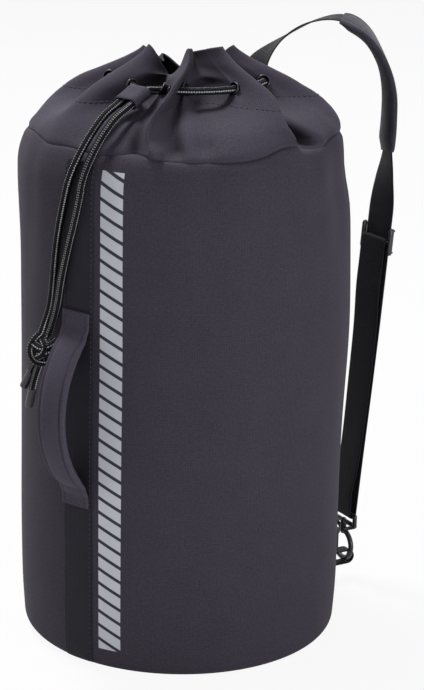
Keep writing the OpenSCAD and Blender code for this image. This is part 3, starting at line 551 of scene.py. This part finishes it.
# Spun polyester thread: nearly black and dull, with the twist's light and dark about 1 mm apart.
thread = grained("polyester_thread", "#121116", "#1d1c22", 900, 2, {"Roughness": 0.6})[0]
band_thread = stitches("band_stitches", [
    [surface_at(s * half * 0.9, z, 0.5 + band_t) for z in heights] for s in (-1, 1)])
band_thread.data.materials.append(thread)
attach(band_thread, "bag")

# Side handle: oxford folded round a foam strip and stitched along both edges. Its ends are
# flattened into tabs that are box-stitched through the band.
handle_z, handle_bow, handle_span = 286, 42, 176
arch_r = (handle_span ** 2 / 4 + handle_bow ** 2) / (2 * handle_bow)
arch_c = bag_r + handle_bow - arch_r

def handle_section(t):
    """The folded cloth's section: full in the middle, pressed in along both stitch lines."""
    half = [(18, 0), (17.6, 0.45), (16.4, 0.8), (14.6, 0.95), (13.4, 0.7), (12.6, 0.7),
            (11.4, 1.0), (6, 1.1), (0, 1.13)]
    upper = half + [(-x, y) for x, y in half[-2::-1]]
    return [(x, t * y) for x, y in upper + [(x, -y) for x, y in upper[-2:0:-1]]]

def handle_half(name, up, tab):
    """Half of the handle, from the middle of its bow to its tab; it bends between tab and bow."""
    arch = [(arch_c + arch_r * math.cos(math.radians(t)), up * arch_r * math.sin(math.radians(t)))
            for t in range(0, 46, 3)]
    foot = [(182.5, up * 85), (179.6, up * 90), (178.9, up * 95),
            (178.7, up * (95 + tab * 0.5)), (178.6, up * (92 + tab))]
    line = curve([Vector((0, -x, handle_z + z)) for x, z in arch + foot], 2)
    if up > 0:
        line = line[::-1]
    thin = [1.5 + 2.6 * ease((85 - abs(p.z - handle_z)) / 18) for p in line]
    made = sweep(name, line, [Vector((1, 0, 0))] * len(line), lambda i: handle_section(thin[i]))
    made.data.materials.append(handle_cloth)
    edge = [[p + Vector((s * 13, -t * 0.72, 0)) for p, t in zip(line, thin) if abs(p.z - handle_z) < 88]
            for s in (-1, 1)]
    z0, z1 = sorted((handle_z + up * 91, handle_z + up * (89 + tab)))
    box = [Vector((x, -180.3, z)) for x, z in ((-14, z0), (14, z0), (14, z1), (-14, z1), (-14, z0))]
    sewn = stitches(name + "_stitches", edge, thick=0.45)
    sewn_box = stitches(name + "_tab_stitches", [box], thick=0.45)
    for piece in (sewn, sewn_box):
        piece.data.materials.append(thread)
    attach(sewn_box, "bag")
    for piece in (made, sewn):
        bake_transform(piece)
    return made

handle_cloth = woven("polyester_oxford_handle", "#484451", 0.0016, 0.82, 0.04, 0.12)
upper_half = handle_half("handle_upper_half", 1, tab=16)
lower_half = handle_half("handle_lower_half", -1, tab=12)
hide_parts("handle_top_tab", "handle_cover", "handle_core")
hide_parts("handle_bottom_tab")

# Collar: the same oxford, gathered into pleats above the yoke seam. Its top is turned in as a
# deep hem, sewn down with a row of thread, and the pleats fold in to the mouth.
def crumple(p, strength):
    """Small crumples of the gathered cloth, about 34 and 13 mm across."""
    n = noise.noise(Vector((p.x / 34, p.y / 34, p.z / 30)))
    m = noise.noise(Vector((p.x / 13 + 5, p.y / 13, p.z / 12)))
    return strength * (1.5 * n + 0.5 * m)

collar_rows, casing_up = 44, 42
rows = []
for k in range(collar_rows + 1):
    t = k / collar_rows
    row = []
    for i, u in columns:
        h0 = yoke_up(fold_angle(i, u, 0))
        h = h0 + (collar_h - h0) * t
        p = fold(i, u, h)
        a = fold_angle(i, u, h)
        seam = -1.8 * bell((h - h0) / 2.6) + sag(a, bag_h) * (1 - ease(t * 3))
        casing = -0.7 * bell((h - casing_up) / 1.6)
        row.append(p + (crumple(p, ease(t * 4)) + seam + casing) * out_dir(a))
    rows.append(row)
collar = skin("collar_cloth", rows, wrap=True)
thicken(collar, 0.0022, -1)
# The collar's colour, which the keeper shares, carries painted shade in its deep folds by fold_shade.
collar_oxford = woven("polyester_oxford_collar", "#413d49", 0.0017, 0.82, 0.04, 0.2, fold_shade=0.9)
collar.data.materials.append(collar_oxford)
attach(collar, "bag")
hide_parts("collar_panel", "collar_hem")

line = []
for i, u in columns:
    a = fold_angle(i, u, casing_up)
    p = fold(i, u, casing_up)
    line.append(p + (crumple(p, 1) + 0.1) * out_dir(a))
casing_thread = stitches("casing_stitches", [line + line[:1]], long=3.6, gap=2.2, thick=0.55)
casing_thread.data.materials.append(thread)
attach(casing_thread, "bag")

# Eyelets: pressed brass with a dark gunmetal plating, one for each time the cord passes through
# the hem. Each has a rolled flange outside and a washer inside, and the tight cord turns it.
hem_t = 3.6

def eyelet_places():
    """Middle and axis of each eyelet."""
    for i in range(8):
        for u in (0.25, 0.75):
            a = fold_angle(i, u, eyelet_up)
            d = fold(i, u + 0.002, eyelet_up) - fold(i, u - 0.002, eyelet_up)
            e = fold(i, u, eyelet_up + 1) - fold(i, u, eyelet_up - 1)
            n = d.cross(e).normalized()
            way = round_dir(a) * (1 if n.dot(round_dir(a)) > 0 else -1)
            level = Vector((d.y, -d.x, 0)).normalized()
            yield fold(i, u, eyelet_up) - hem_t / 2 * level, (0.65 * n + 0.35 * way).normalized()

def rings(name, profile):
    """The same turned profile at every eyelet, as one mesh."""
    spots, faces, turns = [], [], 28
    for c, n in eyelet_places():
        w = n.orthogonal().normalized()
        v = n.cross(w)
        first = len(spots)
        for r, z in profile:
            spots += [c + z * n + r * (math.cos(b) * w + math.sin(b) * v)
                      for b in (2 * math.pi * k / turns for k in range(turns))]
        m = len(profile)
        for j in range(m):
            for k in range(turns):
                a, b = first + j * turns, first + (j + 1) % m * turns
                faces.append((a + k, a + (k + 1) % turns, b + (k + 1) % turns, b + k))
    return in_scene(name, [tuple(p * 0.001) for p in spots], faces)

flanges = rings("eyelet_flanges", [(5.4, -4.2), (5.4, 2.2), (5.6, 3.0), (6.1, 3.5), (6.8, 3.4), (7.3, 2.9),
                                   (7.6, 2.2), (7.3, 2.0), (6.6, 2.2), (6.1, 2.1), (6.0, -4.2)])
washers = rings("eyelet_washer_rings",
                [(6.1, -3.5), (8.2, -3.5), (8.2, -3.9), (7.5, -4.5), (6.2, -4.4)][::-1])
# Gunmetal plating: dark, glossy metal, cloudy at about 1.4 mm where the plating is thin.
gunmetal, tree, shader, grain = grained("gunmetal_plated_brass", "#232327", "#47474e", 700, 3, {"Metallic": 1})
worn = put(tree, "ShaderNodeMapRange", {"To Min": 0.22, "To Max": 0.42}, Value=grain)
tree.links.new(worn.outputs[0], shader.inputs["Roughness"])
for piece, node in ((flanges, "eyelets"), (washers, "eyelet_washers")):
    piece.data.materials.append(gunmetal)
    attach(piece, "bag")
    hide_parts(node)

# Drawcord: 8 mm black braided polyester with light tracer threads. It runs round the neck
# through the eyelets, comes out on the handle side, and hangs to a knot.
cord_r, keeper_tilt = 4, math.radians(22)
keeper_c = Vector((16, -110, bag_h + 52))
run_dir = Vector((0, -math.cos(keeper_tilt), -math.sin(keeper_tilt)))
ring_r = sum(pleat_r(eyelet_up)) / 2

def on_ring(a):
    """The cord's place in the neck at an angle."""
    return ring_r * out_dir(a) + Vector((0, 0, bag_h + eyelet_up * rise(a)))

def braided(name):
    """A round braid: dull and nearly black. Five strands each way cross at 45 degrees, coarser than
    the real braid so that they show, and four rows of light dashes are the tracers."""
    made, tree, shader = material(name, {"Roughness": 0.75, "Specular IOR Level": 0.12})
    split = put(tree, "ShaderNodeSeparateXYZ", {}, Vector=put(tree, "ShaderNodeTexCoord").outputs["UV"])
    strand, tracer = 5 / (cord_r * 0.001), 4 / (cord_r * 0.001)
    waves = []
    for operation in ("ADD", "SUBTRACT"):
        wave = put(tree, "ShaderNodeMath", {"operation": operation}, in_0=split.outputs[0], in_1=split.outputs[1])
        wave = put(tree, "ShaderNodeMath", {"operation": "MULTIPLY", 1: strand}, in_0=wave.outputs[0])
        waves.append(put(tree, "ShaderNodeMath", {"operation": "SINE"}, in_0=wave.outputs[0]).outputs[0])
    plait = put(tree, "ShaderNodeMath", {"operation": "MULTIPLY"}, in_0=waves[0], in_1=waves[1])
    row = put(tree, "ShaderNodeMath", {"operation": "MULTIPLY", 1: tracer}, in_0=split.outputs[0])
    row = put(tree, "ShaderNodeMath", {"operation": "COSINE"}, in_0=row.outputs[0])
    row = put(tree, "ShaderNodeMapRange", {"From Min": 0.35, "From Max": 0.8}, Value=row.outputs[0])
    dash = put(tree, "ShaderNodeMapRange", {"From Min": 0.05, "From Max": 0.3}, Value=plait.outputs[0])
    fleck = put(tree, "ShaderNodeMath", {"operation": "MULTIPLY"}, in_0=row.outputs[0], in_1=dash.outputs[0])
    tint = put(tree, "ShaderNodeMix", {"data_type": "RGBA", 6: linear("#111115"), 7: linear("#c2c3ca")},
               in_0=fleck.outputs[0])
    tree.links.new(tint.outputs[2], shader.inputs["Base Color"])
    bump = put(tree, "ShaderNodeBump", {"Strength": 0.6, "Distance": 0.0008}, Height=plait.outputs[0])
    tree.links.new(bump.outputs[0], shader.inputs["Normal"])
    return made

def carried(path, first):
    """Side directions that follow a path without twisting."""
    sides, side = [], Vector(first)
    for i in range(len(path)):
        t = (path[min(i + 1, len(path) - 1)] - path[max(i - 1, 0)]).normalized()
        side = (side - side.dot(t) * t).normalized()
        sides.append(side)
    return sides

circle = [(cord_r * math.cos(2 * math.pi * k / 16), cord_r * math.sin(2 * math.pi * k / 16))
          for k in range(16)]
braid = braided("braided_polyester_cord")

def cord(name, path, node, first=(0.6, 0.5, -0.6)):
    """A length of the cord along a path; the first piece of a kind stands for its node."""
    made = sweep(name, path, carried(path, first), circle)
    made.data.materials.append(braid)
    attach(made, "bag")
    if node:
        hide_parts(node)
    return made

def length(path):
    """Length in metres of a path in millimetres."""
    return sum((b - a).length for a, b in zip(path, path[1:])) * 0.001

ring_from, ring_to = fold_angle(0, 0.75, eyelet_up), 360 + fold_angle(0, 0.25, eyelet_up)
neck_path = [on_ring(ring_from + (ring_to - ring_from) * k / 150) for k in range(151)]
cord("drawcord_neck_ring", neck_path, "drawcord_neck", (0, 0, 1))

def hanging(at, way, x, rest):
    """A cord's way out of the neck, through the keeper and down by the points in rest."""
    p, d = on_ring(at), way * round_dir(at)
    run = lambda s: Vector((x, keeper_c.y, keeper_c.z)) + s * run_dir
    return [p] + curve([p + 2 * d, p + 6 * d + Vector((0, -4, 0)), run(-16), run(-13), run(0), run(13),
                        run(23), run(35)] + [Vector(q) for q in rest], 6)

left_path = hanging(ring_to, 1, 8.5, [
    (7, -152, 587), (4, -165, 572), (-1, -176, 552), (-8, -181, 530), (-15, -181, 505), (-22, -180, 478),
    (-27, -179.5, 450), (-31, -178.5, 420), (-35, -178, 395), (-39, -182, 375), (-41, -187, 362)])
right_path = hanging(ring_from, -1, 23.5, [
    (22, -152, 588), (19, -164, 574), (15, -175, 555), (9.5, -180.5, 534), (5, -181.8, 510), (-2, -182, 484),
    (-10, -182, 456), (-18, -181.5, 426), (-25, -179.5, 398), (-31, -180.5, 376), (-34, -184, 363)])
left_cord = cord("drawcord_left_run", left_path, "drawcord_left")
right_cord = cord("drawcord_right_run", right_path, "drawcord_right")

# Knot: both cords are laced through each other into a round lanyard knot, and their tails end in
# shrunk plastic sleeves. The knot hangs against the tube beside the handle.
knot_c = Vector((-35, -185, 350))
view_in = Vector((-0.616, 0.788, 0)).normalized()
knot_x, knot_y = Vector((0.788, 0.616, 0)), Vector((0, 0, 1))

def in_knot(points):
    """A strand's path from points across, up and out from the middle of the knot."""
    return curve([knot_c + x * knot_x + y * knot_y - z * view_in for x, y, z in points], 6)

strands = [
    [(-7, 14, 0), (-13, 7, 3), (-16, -3, 4), (-12, -13, 5), (-2, -16, 5), (8, -14, 5), (13, -6, 4),
     (12, 2, 0), (5, 6, -3)],
    [(1, 14, -1), (-6, 6, 2), (-8, -3, 3), (-4, -8, 4), (2, -9, 4), (7, -5, 3), (6, 0, -1)],
    [(-12, 5, 6), (-5, 2, 11), (3, 4, 12), (10, 8, 9), (16, 12, 4)],
    [(-7, -4, 9), (1, -3, 13), (9, 1, 12), (16, 4, 6)],
    [(-3, 10, 7), (0, 4, 12), (-2, -3, 13), (-8, -8, 8)]]
knot_pieces = [cord(f"knot_strand_{k}", in_knot(s), "drawcord_knot" if k == 0 else None, (0.1, 0.2, 1))
               for k, s in enumerate(strands)]
tails = [curve([Vector(p) for p in route], 5) for route in (
    [(-42, -187, 341), (-46, -187, 334), (-50, -187, 327), (-54, -187, 320)],
    [(-36, -190, 338), (-39, -191, 331), (-43, -191, 322), (-46, -191, 313), (-49, -190.5, 303)])]
tail_pieces = [cord(f"cord_tail_{k}", t, "drawcord_tails" if k == 0 else None, (0.2, 1, 0.3))
               for k, t in enumerate(tails)]
# Shrunk polyolefin: smooth and half glossy, a warm black that is cloudy at about 4 mm.
sleeve = grained("polyolefin_shrink_sleeve", "#211d22", "#332c32", 260, 2, {"Roughness": 0.38})[0]
for k, t in enumerate(tails):
    d = (t[-1] - t[-2]).normalized()
    line = [t[-1] + d * s for s in (-0.5, 0.2, 1.5, 6, 12, 18, 20.5, 21.7, 22)]
    wide = (4.1, 4.35, 4.5, 4.4, 4.45, 4.4, 4.3, 3.9, 2.2)
    tip = sweep(f"cord_tip_{k}", line, carried(line, (0.2, 1, 0.3)),
                lambda i: [(x / cord_r * wide[i], y / cord_r * wide[i]) for x, y in circle])
    tip.data.materials.append(sleeve)
    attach(tip, "bag")
    if k == 0:
        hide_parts("cord_tips")
length(left_path)
length(right_path)

# Cord keeper: a short double channel of oxford, sewn between its two tunnels. It slides on both
# cords and holds the gathers.
def keeper_outline(grow):
    """Two round channels side by side, pinched together by the stitching between them."""
    points, channel_x, channel_r = [], 7.5, 6.6 + grow
    for k in range(28):
        a = 2 * math.pi * k / 28
        x = channel_x * (1 if math.cos(a) >= 0 else -1) + channel_r * math.cos(a)
        points.append((x, channel_r * math.sin(a) * (1 - 0.22 * bell(x / 4))))
    return points

line = [keeper_c + run_dir * s for s in (-13, -12.4, -9, -4, 0, 4, 9, 12.4, 13)]
grow = (-0.8, 0, 0.3, 0.1, 0, 0.1, 0.3, 0, -0.8)
keeper = sweep("cord_keeper_cloth", line, [Vector((1, 0, 0))] * len(line), lambda i: keeper_outline(grow[i]),
               ends=False)
thicken(keeper, 0.0018, -1)
keeper.data.materials.append(collar_oxford)
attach(keeper, "keeper")
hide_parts("cord_keeper")

# Shoulder strap: one 38 mm webbing, sewn into the yoke seam, padded at the top, then down to the
# hook at the base and back up to the slider. The strap swings on its sewn end and the hook.
strap_w, strap_t, loop_at, anchor_at = 38, 1.8, 158, 192
hook_c = (bag_r + 45) * out_dir(loop_at)
hook_z, top_bar_z, wrap_r = 42, 83, 3.8
strap_top = (seam_r + 2.1) * out_dir(anchor_at)
cut = strap_top + Vector((0, 2, bag_h + 22))
swing = (cut - hook_c - Vector((0, 0, 25))).normalized()
upper = [cut + 6 * swing] + [Vector(p) for p in (
    (-29, 172, 604), (-5, 183, 631), (22, 196, 649), (50, 211, 654), (76, 224, 639), (92, 234.5, 610),
    (98.5, 240.5, 578), (100, 240.5, 543), (100.5, 236, 508))]
upper_turn = [-12, 25, 66, 78, 70, 58, 51, 47, 46, 43]
run_top = Vector((102, 227, 450))
run_low = hook_c + wrap_r * out_dir(loop_at) + Vector((2, 1.6, top_bar_z + 34))
on_strap = lambda t: run_top.lerp(run_low, t)
lower = [Vector((102, 230, 480))] + [on_strap(t) for t in (0, 0.1, 0.2, 0.3, 0.4, 0.5, 0.65, 0.8, 0.92, 1)]
lower_turn = [28, 14, 13, 13, 13, 13, 14, 16, 19, 21, 22]
wrap = [hook_c + Vector((0, 0, top_bar_z)) + wrap_r * (math.cos(math.radians(b)) * out_dir(loop_at)
        - math.sin(math.radians(b)) * Vector((0, 0, 1))) for b in range(0, 181, 15)]
back_end = [wrap[-1] + Vector((0, 0, 9)), wrap[-1] + Vector((0, 0, 18))]

def turned(turns):
    """The webbing's direction across, from how far it is turned in degrees."""
    return [Vector((math.cos(math.radians(t)), -math.sin(math.radians(t)), 0)) for t in turns]

def turn_curve(values, n):
    """Numbers smoothed as curve smooths points."""
    return [p.x for p in curve([Vector((v, 0, 0)) for v in values], n)]

# Smoother nylon webbing, nearly black; its ribs too are drawn coarser, at 2.6 mm.
strap_webbing = ribbed("nylon_webbing_strap", "#1d1c21", 0.0026, 0.7, 0.03)
strap_section = flat_section(strap_w, strap_t)
fine = 8
strap_path = curve(upper + lower, fine)
strap_turns = turn_curve(upper_turn + lower_turn, fine)
root = [(outline(z) + 1.3) * out_dir(anchor_at) + Vector((0, 0, z)) for z in (508, 520, 532, 544)]
root += [strap_top + Vector((0, 0.2, 555)), strap_top + Vector((0, 1, 564)), cut - 6 * swing, cut]
root_path = curve(root, 5)
anchor = sweep("strap_root_webbing", root_path, turned([-12] * len(root_path)), strap_section)
anchor.data.materials.append(strap_webbing)
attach(anchor, "bag")
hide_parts("strap_anchor")

pad_end = fine * (len(upper) - 1)
top_path = [cut] + strap_path[:pad_end + 1]
top = sweep("strap_upper_run", top_path, turned([-12] + strap_turns[:pad_end + 1]), strap_section)
top.data.materials.append(strap_webbing)
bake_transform(top)
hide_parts("strap_upper_webbing")

low_path = strap_path[pad_end:] + wrap + back_end
low_turns = strap_turns[pad_end:] + [22] * (len(wrap) + 2)
low = sweep("strap_lower_run", low_path, turned(low_turns), strap_section)
low.data.materials.append(strap_webbing)
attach(low, "strap")
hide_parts("strap_lower_webbing")

# Shoulder pad: foam between a brushed knit face and lining, bound along its edge, with the
# webbing sewn along its middle. It follows the strap's arch and its ends are rounded.
pad_from = 4 * fine
pad_line = strap_path[pad_from:pad_end + 1]
pad_sides = turned(strap_turns[pad_from:pad_end + 1])
reach = [0.0]
for a, b in zip(pad_line, pad_line[1:]):
    reach.append(reach[-1] + (b - a).length)

def pad_section(i):
    """The pad's section: full on its inner side, pressed in beside the webbing, and both narrower
    and thinner towards the pad's ends."""
    d = min(reach[i], reach[-1] - reach[i])
    h = 21 + 8 * math.sqrt(max(0, 1 - (1 - min(1, d / 22)) ** 2))
    full = 0.55 + 0.45 * ease(d / 16)
    inner = [(h, 1.2), (0.97 * h, 3.2 * full), (0.86 * h, 5.6 * full), (0.6 * h, 8.0 * full),
             (0.3 * h, 9.0 * full), (0, 9.3 * full)]
    outer = [(0, -2.9), (0.3 * h, -2.8), (0.62 * h, -2.5), (0.66 * h, -2.0), (0.7 * h, -2.5),
             (0.9 * h, -2.2), (0.98 * h, -0.8)]
    return inner + [(-x, y) for x, y in inner[-2::-1]] + [(-x, y) for x, y in outer[::-1]] + outer[1:]

pad = sweep("shoulder_pad_cloth", pad_line, pad_sides, pad_section)
# Brushed knit: a soft dull pile in tufts of about 2.4 mm, coarser than the real ones so that they
# show, and cloudy at about 25 mm where it has been stroked.
knit, tree, shader = material("brushed_polyester_knit", {"Roughness": 0.9, "Sheen Weight": 0.12,
                                                         "Specular IOR Level": 0.08})
place = put(tree, "ShaderNodeTexCoord").outputs["UV"]
pile = put(tree, "ShaderNodeTexNoise", {"Scale": 420, "Detail": 4, "Roughness": 0.7}, Vector=place)
cloud = put(tree, "ShaderNodeTexNoise", {"Scale": 40, "Detail": 3}, Vector=place)
mixed = put(tree, "ShaderNodeMath", {"operation": "ADD"}, in_0=pile.outputs[0], in_1=cloud.outputs[0])
tone = put(tree, "ShaderNodeMapRange", {"From Min": 0.6, "From Max": 1.4}, Value=mixed.outputs[0])
tint = put(tree, "ShaderNodeMix", {"data_type": "RGBA", 6: linear("#2b2a32"), 7: linear("#45434e")},
           in_0=tone.outputs[0])
tree.links.new(tint.outputs[2], shader.inputs["Base Color"])
bump = put(tree, "ShaderNodeBump", {"Strength": 0.4, "Distance": 0.001}, Height=pile.outputs[0])
tree.links.new(bump.outputs[0], shader.inputs["Normal"])
pad.data.materials.append(knit)
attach(pad, "strap")
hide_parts("pad_face", "pad_foam", "pad_lining")

# Slider and the end of the webbing: a moulded acetal three-bar slide. The webbing's end is sewn
# round its middle bar, and the doubled webbing runs from the hook up to it.
slider_p = on_strap(0.12)
up_dir = (run_top - run_low).normalized()
slider_x = turned([13])[0]
slider_x = (slider_x - slider_x.dot(up_dir) * up_dir).normalized()
slider_y = up_dir.cross(slider_x)

def on_slider(x, y, z):
    """A point from the middle of the slider: across, outward, and up along the webbing."""
    return slider_p + x * slider_x + y * slider_y + z * up_dir

# Moulded acetal: black and half matt, with the mould's fine grain of about 0.7 mm.
acetal, tree, shader, grain = grained("moulded_acetal", "#17161a", "#1f1d23", 1500, 2, {"Roughness": 0.42})
bump = put(tree, "ShaderNodeBump", {"Strength": 0.1, "Distance": 0.0003}, Height=grain)
tree.links.new(bump.outputs[0], shader.inputs["Normal"])

def rod(name, line, radius, side=(0.3, 0.2, 0.9), squash_y=1.0):
    """A moulded round bar along a line, with rounded ends."""
    line = [Vector(p) for p in line]
    a, b = (line[0] - line[1]).normalized(), (line[-1] - line[-2]).normalized()
    full = ([line[0] + a * radius * f for f in (0.95, 0.7)] + line
            + [line[-1] + b * radius * f for f in (0.7, 0.95)])
    wide = [0.35, 0.75] + [1] * len(line) + [0.75, 0.35]
    ring = [(math.cos(math.pi * k / 7), math.sin(math.pi * k / 7)) for k in range(14)]
    return sweep(name, full, carried(full, side),
                 lambda i: [(radius * wide[i] * x, radius * squash_y * wide[i] * y) for x, y in ring])

def joined(name, parts):
    """Several meshes as one piece."""
    with bpy.context.temp_override(active_object=parts[0], selected_editable_objects=parts):
        bpy.ops.object.join()
    parts[0].name = parts[0].data.name = name
    return parts[0]

slider = joined("strap_slider_frame", [
    rod("rail", [on_slider(x, -1.6, z) for z in (-13, -8, 0, 8, 13)], 2.6, (1, 0, 0), 1.5) for x in (21.8, -21.8)
] + [
    rod("bar", [on_slider(x, y, z) for x in (-21, 0, 21)], 1.5) for y, z in ((2.8, 12.5), (2.8, -12.5), (-4.7, 0))])
slider.data.materials.append(acetal)
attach(slider, "slider")
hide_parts("strap_slider")

hairpin = [on_slider(0, -7.2, z) for z in (-30, -24, -16, -8, -2)] + [
    on_slider(0, -4.7 - 2.5 * math.cos(math.radians(b)), 2.5 * math.sin(math.radians(b)))
    for b in range(0, 271, 30)]
end_loop = sweep("strap_end_fold", hairpin, [slider_x] * len(hairpin), strap_section)
end_loop.data.materials.append(strap_webbing)
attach(end_loop, "slider")
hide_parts("strap_end_loop")

inward = slider_x.cross(up_dir).normalized()
behind = lambda t, off: on_strap(t) + off * inward
back_off = 7.2
returning = [back_end[1], back_end[1] + Vector((0, 0, 4)), wrap[-1] + Vector((0.4, 0.3, 30)),
             behind(0.93, 6.5), behind(0.8, 4.4), behind(0.62, 4), behind(0.44, 4.4), behind(0.3, back_off),
             slider_p + back_off * inward - 30.2 * up_dir]
return_path = curve(returning, 6)
return_turns = turn_curve([22, 22, 22, 21, 19, 15.6, 13.5, 13, 13], 6)
doubled = sweep("strap_return_run", return_path, turned(return_turns), strap_section)
doubled.data.materials.append(strap_webbing)
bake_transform(doubled)
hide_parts("strap_return_webbing")

# Snap hook: a black coated die-cast hook with a bar for the webbing, and a sprung gate on a
# steel pin. The hook's round part is clipped into the base loop.
along, hook_in = round_dir(loop_at), out_dir(loop_at) * -1

def on_hook(x, y, z):
    """A point from the middle of the hook's round part: across, inward and up."""
    return hook_c + x * along + y * hook_in + Vector((0, 0, hook_z + z))

# Coated zinc: black, with the coating's soft gloss and a grain of about 2 mm.
coated, tree, shader, grain = grained("black_coated_zinc", "#1a191d", "#26252a", 500, 4, {"Metallic": 0.3})
worn = put(tree, "ShaderNodeMapRange", {"To Min": 0.3, "To Max": 0.5}, Value=grain)
tree.links.new(worn.outputs[0], shader.inputs["Roughness"])
bow = [on_hook(17 * math.cos(math.radians(a)), 0, 17 * math.sin(math.radians(a))) for a in range(56, 307, 10)]
half_w = strap_w / 2 + 3.7
hook = joined("snap_hook_body", [
    rod("bow", bow, 3, hook_in),
    rod("neck", [on_hook(0, 0, z) for z in (16, 20, 25, 29)], 3.6, along),
    rod("eye_bar", [on_hook(x, 0, 29) for x in (-half_w, 0, half_w)], 2.8),
    rod("webbing_bar", [on_hook(x, 0, 41) for x in (-half_w, 0, half_w)], 2.5)
] + [
    rod("post", [on_hook(x, 0, z) for z in (29, 35, 41)], 2.6, along) for x in (half_w, -half_w)
] + [
    rod("arm", [on_hook(x * f, 0, 17 + 11 * f) for f in (0.05, 0.5, 1)], 2.2) for x in (half_w, -half_w)])
hook.data.materials.append(coated)
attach(hook, "strap")
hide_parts("snap_hook")
# Turned steel: bright, with fine tool marks about 1 mm apart.
steel, tree, shader = material("turned_steel_pin", {"Base Color": linear("#b4b4ba"), "Metallic": 1})
lathe = put(tree, "ShaderNodeTexNoise", {"Scale": 900, "Detail": 2})
worn = put(tree, "ShaderNodeMapRange", {"To Min": 0.25, "To Max": 0.4}, Value=lathe.outputs[0])
tree.links.new(worn.outputs[0], shader.inputs["Roughness"])
for node, finish in (("hook_gate", coated), ("hook_pin", steel)):
    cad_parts[node].data.materials.clear()
    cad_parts[node].data.materials.append(finish)

# Base loop: narrow webbing folded into a loop, its foot sewn to the tube over the base seam.
# The strap's hook is clipped into it.
loop_out, loop_mid, loop_r = bag_r + 47, 21 + 6.75, 7.65
side = round_dir(loop_at)
leg = [bag_r + 1.4, bag_r + 12, bag_r + 30, loop_out]
hoop = [(r, loop_mid + loop_r) for r in leg]
hoop += [(loop_out + loop_r * math.sin(math.radians(b)), loop_mid + loop_r * math.cos(math.radians(b)))
         for b in range(15, 166, 15)]
hoop += [(r, loop_mid - loop_r) for r in leg[::-1]]
line = [r * out_dir(loop_at) + Vector((0, 0, z)) - 2.5 * side for r, z in hoop]
loop = sweep("base_loop_webbing", line, [side] * len(line), flat_section(14, 1.8))
foot = [surface_at(loop_at, z, 1.3) for z in (5, 8, 12, 18, 24, 30, 36, 42, 48)]
foot = sweep("base_loop_foot", foot, [side] * len(foot), flat_section(20, 1.8))
for piece in (loop, foot):
    piece.data.materials.append(strap_webbing)
    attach(piece, "bag")
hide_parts("base_loop")
